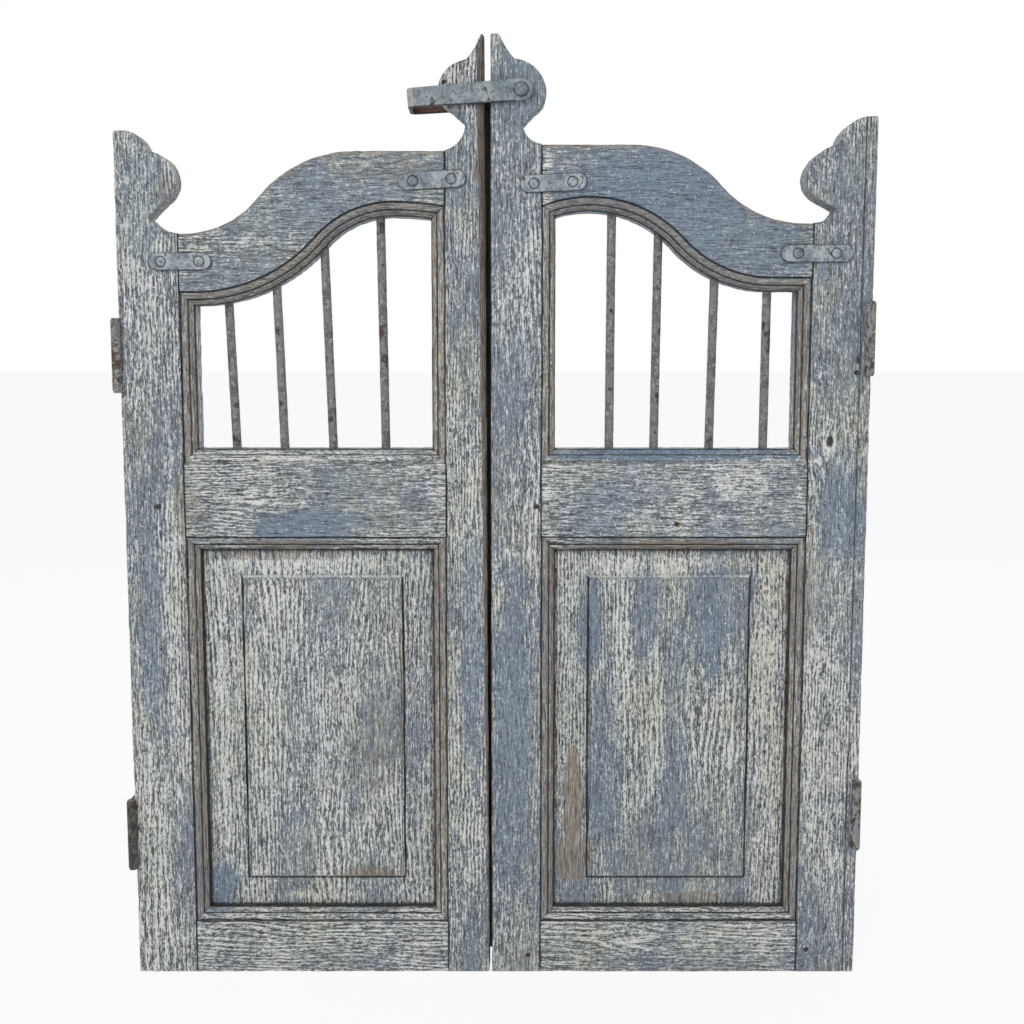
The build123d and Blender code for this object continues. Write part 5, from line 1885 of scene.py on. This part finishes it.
RIGHT = LeafSizes(
    side="right", width=431.0, hinge_face=69.0, meeting_face=57.0,
    top_edge=Ogee((80.0, 879.0), 123.9, 48.0, 136.0), arch=Ogee((115.0, 803.0), 151.0, 47.0, 129.0, 129.0),
    hinge_finial=(((0.0, 116.5),), ((5.0, 116.5),), ((31.0, 107.5), (44.0, 85.0)),
                  ((69.0, 72.0), (79.0, 52.0)),
                  ((76.0, 38.0), (66.0, 27.0)), ((44.0, 15.0),), ((53.0, 4.5),)),
    meeting_finial=(((0.0, 119.0),), ((9.0, 119.0),), ((17.0, 104.0), (26.0, 92.0)),
                    ((52.0, 79.5), (62.0, 57.0)),
                    ((60.0, 46.0), (50.0, 36.0)), ((36.0, 21.0),), ((42.0, 7.0),)),
    edge_x=428.5, direction=-1.0, feet=(33.0, 95.5, 159.0, 210.5), heads=(32.0, 92.0, 156.5, 209.5),
    hinge_heights=(195.0, 750.0), hinge_recess=6.5, bead=13.0, taper=0.0, bevel=(0.0, 0.0), field_margin=40.0,
    straps=(("hinge_strap", (65.0, 845.0), 82.0, 0.0), ("meeting_strap", (361.0, 922.5), 75.0, -2.5)),
    nails=((379.0, 559.0), (218.0, 539.0), (388.0, 21.0), (57.0, 28.0), (17.0, 712.0)), seed=500)


# Thin grey paint on forged bars: pale and cold against the dark moulding, with specks of rust.
BAR_IRON = WornIron("forged_bar_iron_with_old_grey_paint", "#5f5e5d", "#8b8b8a", "#b6b6b2", "#57463a", 0.30)
# The same blue-grey as the wood, smoother and lighter: the straps stand out by their even sheen.
PLATE_IRON = WornIron("wrought_iron_under_blue_grey_paint", "#808c97", "#b6bfc4", "#565e66", "#5a4a3f", 0.12)
# Darker paint, with bare metal and a painted highlight at the bend and rust inside: it looks like the most
# handled part.
LATCH_IRON = WornIron("hand_worn_latch_iron", "#76838d", "#a3aeb3", "#565b60", "#6b4f3c", 0.2)
# Grey iron turning to brown rust, pale on worn edges: small warm accents at the outer edges.
HINGE_IRON = WornIron("rusted_butt_hinge_iron", "#777572", "#a9abae", "#2f2a27", "#62503f", 0.42, 0.8)
# Close to black, for the left leaf's lower hinge: the darkest iron on the pair.
BLACK_HINGE_IRON = WornIron("blackened_butt_hinge_iron", "#403f3d", "#85837f", "#1c1a18", "#4a3a2f",
                            0.45, 1.0)
# Nearly black nail heads, which read as dots of shadow in the paint.
NAIL_IRON = WornIron("rusted_nail_iron", "#3a3532", "#5d5c5b", "#241f1c", "#4b3527", 0.8, 0.4)
# The hinges' CAD solids are shown as they are, under a finish of their own.
KEPT = ("hinge_leaf_plate", "hinge_frame_plate", "hinge_pin", "hinge_screws")


def build_leaf(sizes: LeafSizes, upright: bpy.types.Material, level: bpy.types.Material,
               bar: bpy.types.Material, plate: bpy.types.Material) -> list[StrapPlate]:
    """Build the timber, bars and plates of one leaf.

    Args:
        sizes: the leaf.
        upright: paint on stiles and panel.
        level: paint on rails.
        bar: iron of the bars.
        plate: painted iron of the strap plates.

    Returns:
        The strap plates, for their screws.
    """
    Stile(sizes, True).build(upright)
    Stile(sizes, False).build(upright)
    TopRail(sizes).build(level)
    Rail(sizes, "lock_rail", PANEL_HEAD, SILL, True).build(level)
    Rail(sizes, "bottom_rail", 0.0, PANEL_FOOT, False).build(level)
    Panel(sizes).build(upright)
    for number in range(len(sizes.feet)):
        Bar(sizes, number).build(bar)
    plates = [StrapPlate(sizes, name, middle, length, turn) for name, middle, length, turn in sizes.straps]
    for strap in plates:
        strap.build(plate)
    return plates


def main() -> None:
    """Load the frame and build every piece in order."""
    logging.basicConfig(level=logging.INFO, format="%(message)s")
    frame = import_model()
    upright, level = ChalkedPaint(Grain.UPRIGHT).material(), ChalkedPaint(Grain.LEVEL).material()
    plate, latch, nail = PLATE_IRON.material(), LATCH_IRON.material(), NAIL_IRON.material()
    hinge, black_hinge, bar = HINGE_IRON.material(), BLACK_HINGE_IRON.material(), BAR_IRON.material()
    straps = [build_leaf(sizes, upright, level, bar, plate) for sizes in (LEFT, RIGHT)]
    LatchLoop().build(latch)
    CoverLath().build(BareLath().material())
    fasteners = Fasteners()
    for sizes, plates in zip((LEFT, RIGHT), straps):
        fasteners.on_leaf(sizes, plates, plate, nail)
    fasteners.shared(latch, nail)
    for name, node in frame["nodes"].items():
        if any(part in name for part in KEPT):
            node.data.materials.clear()
            node.data.materials.append(black_hinge if name.startswith("left_lower") else hinge)
            log.info("%s: kept, rusted iron", name)
    Studio().build()


if __name__ == "__main__":
    main()
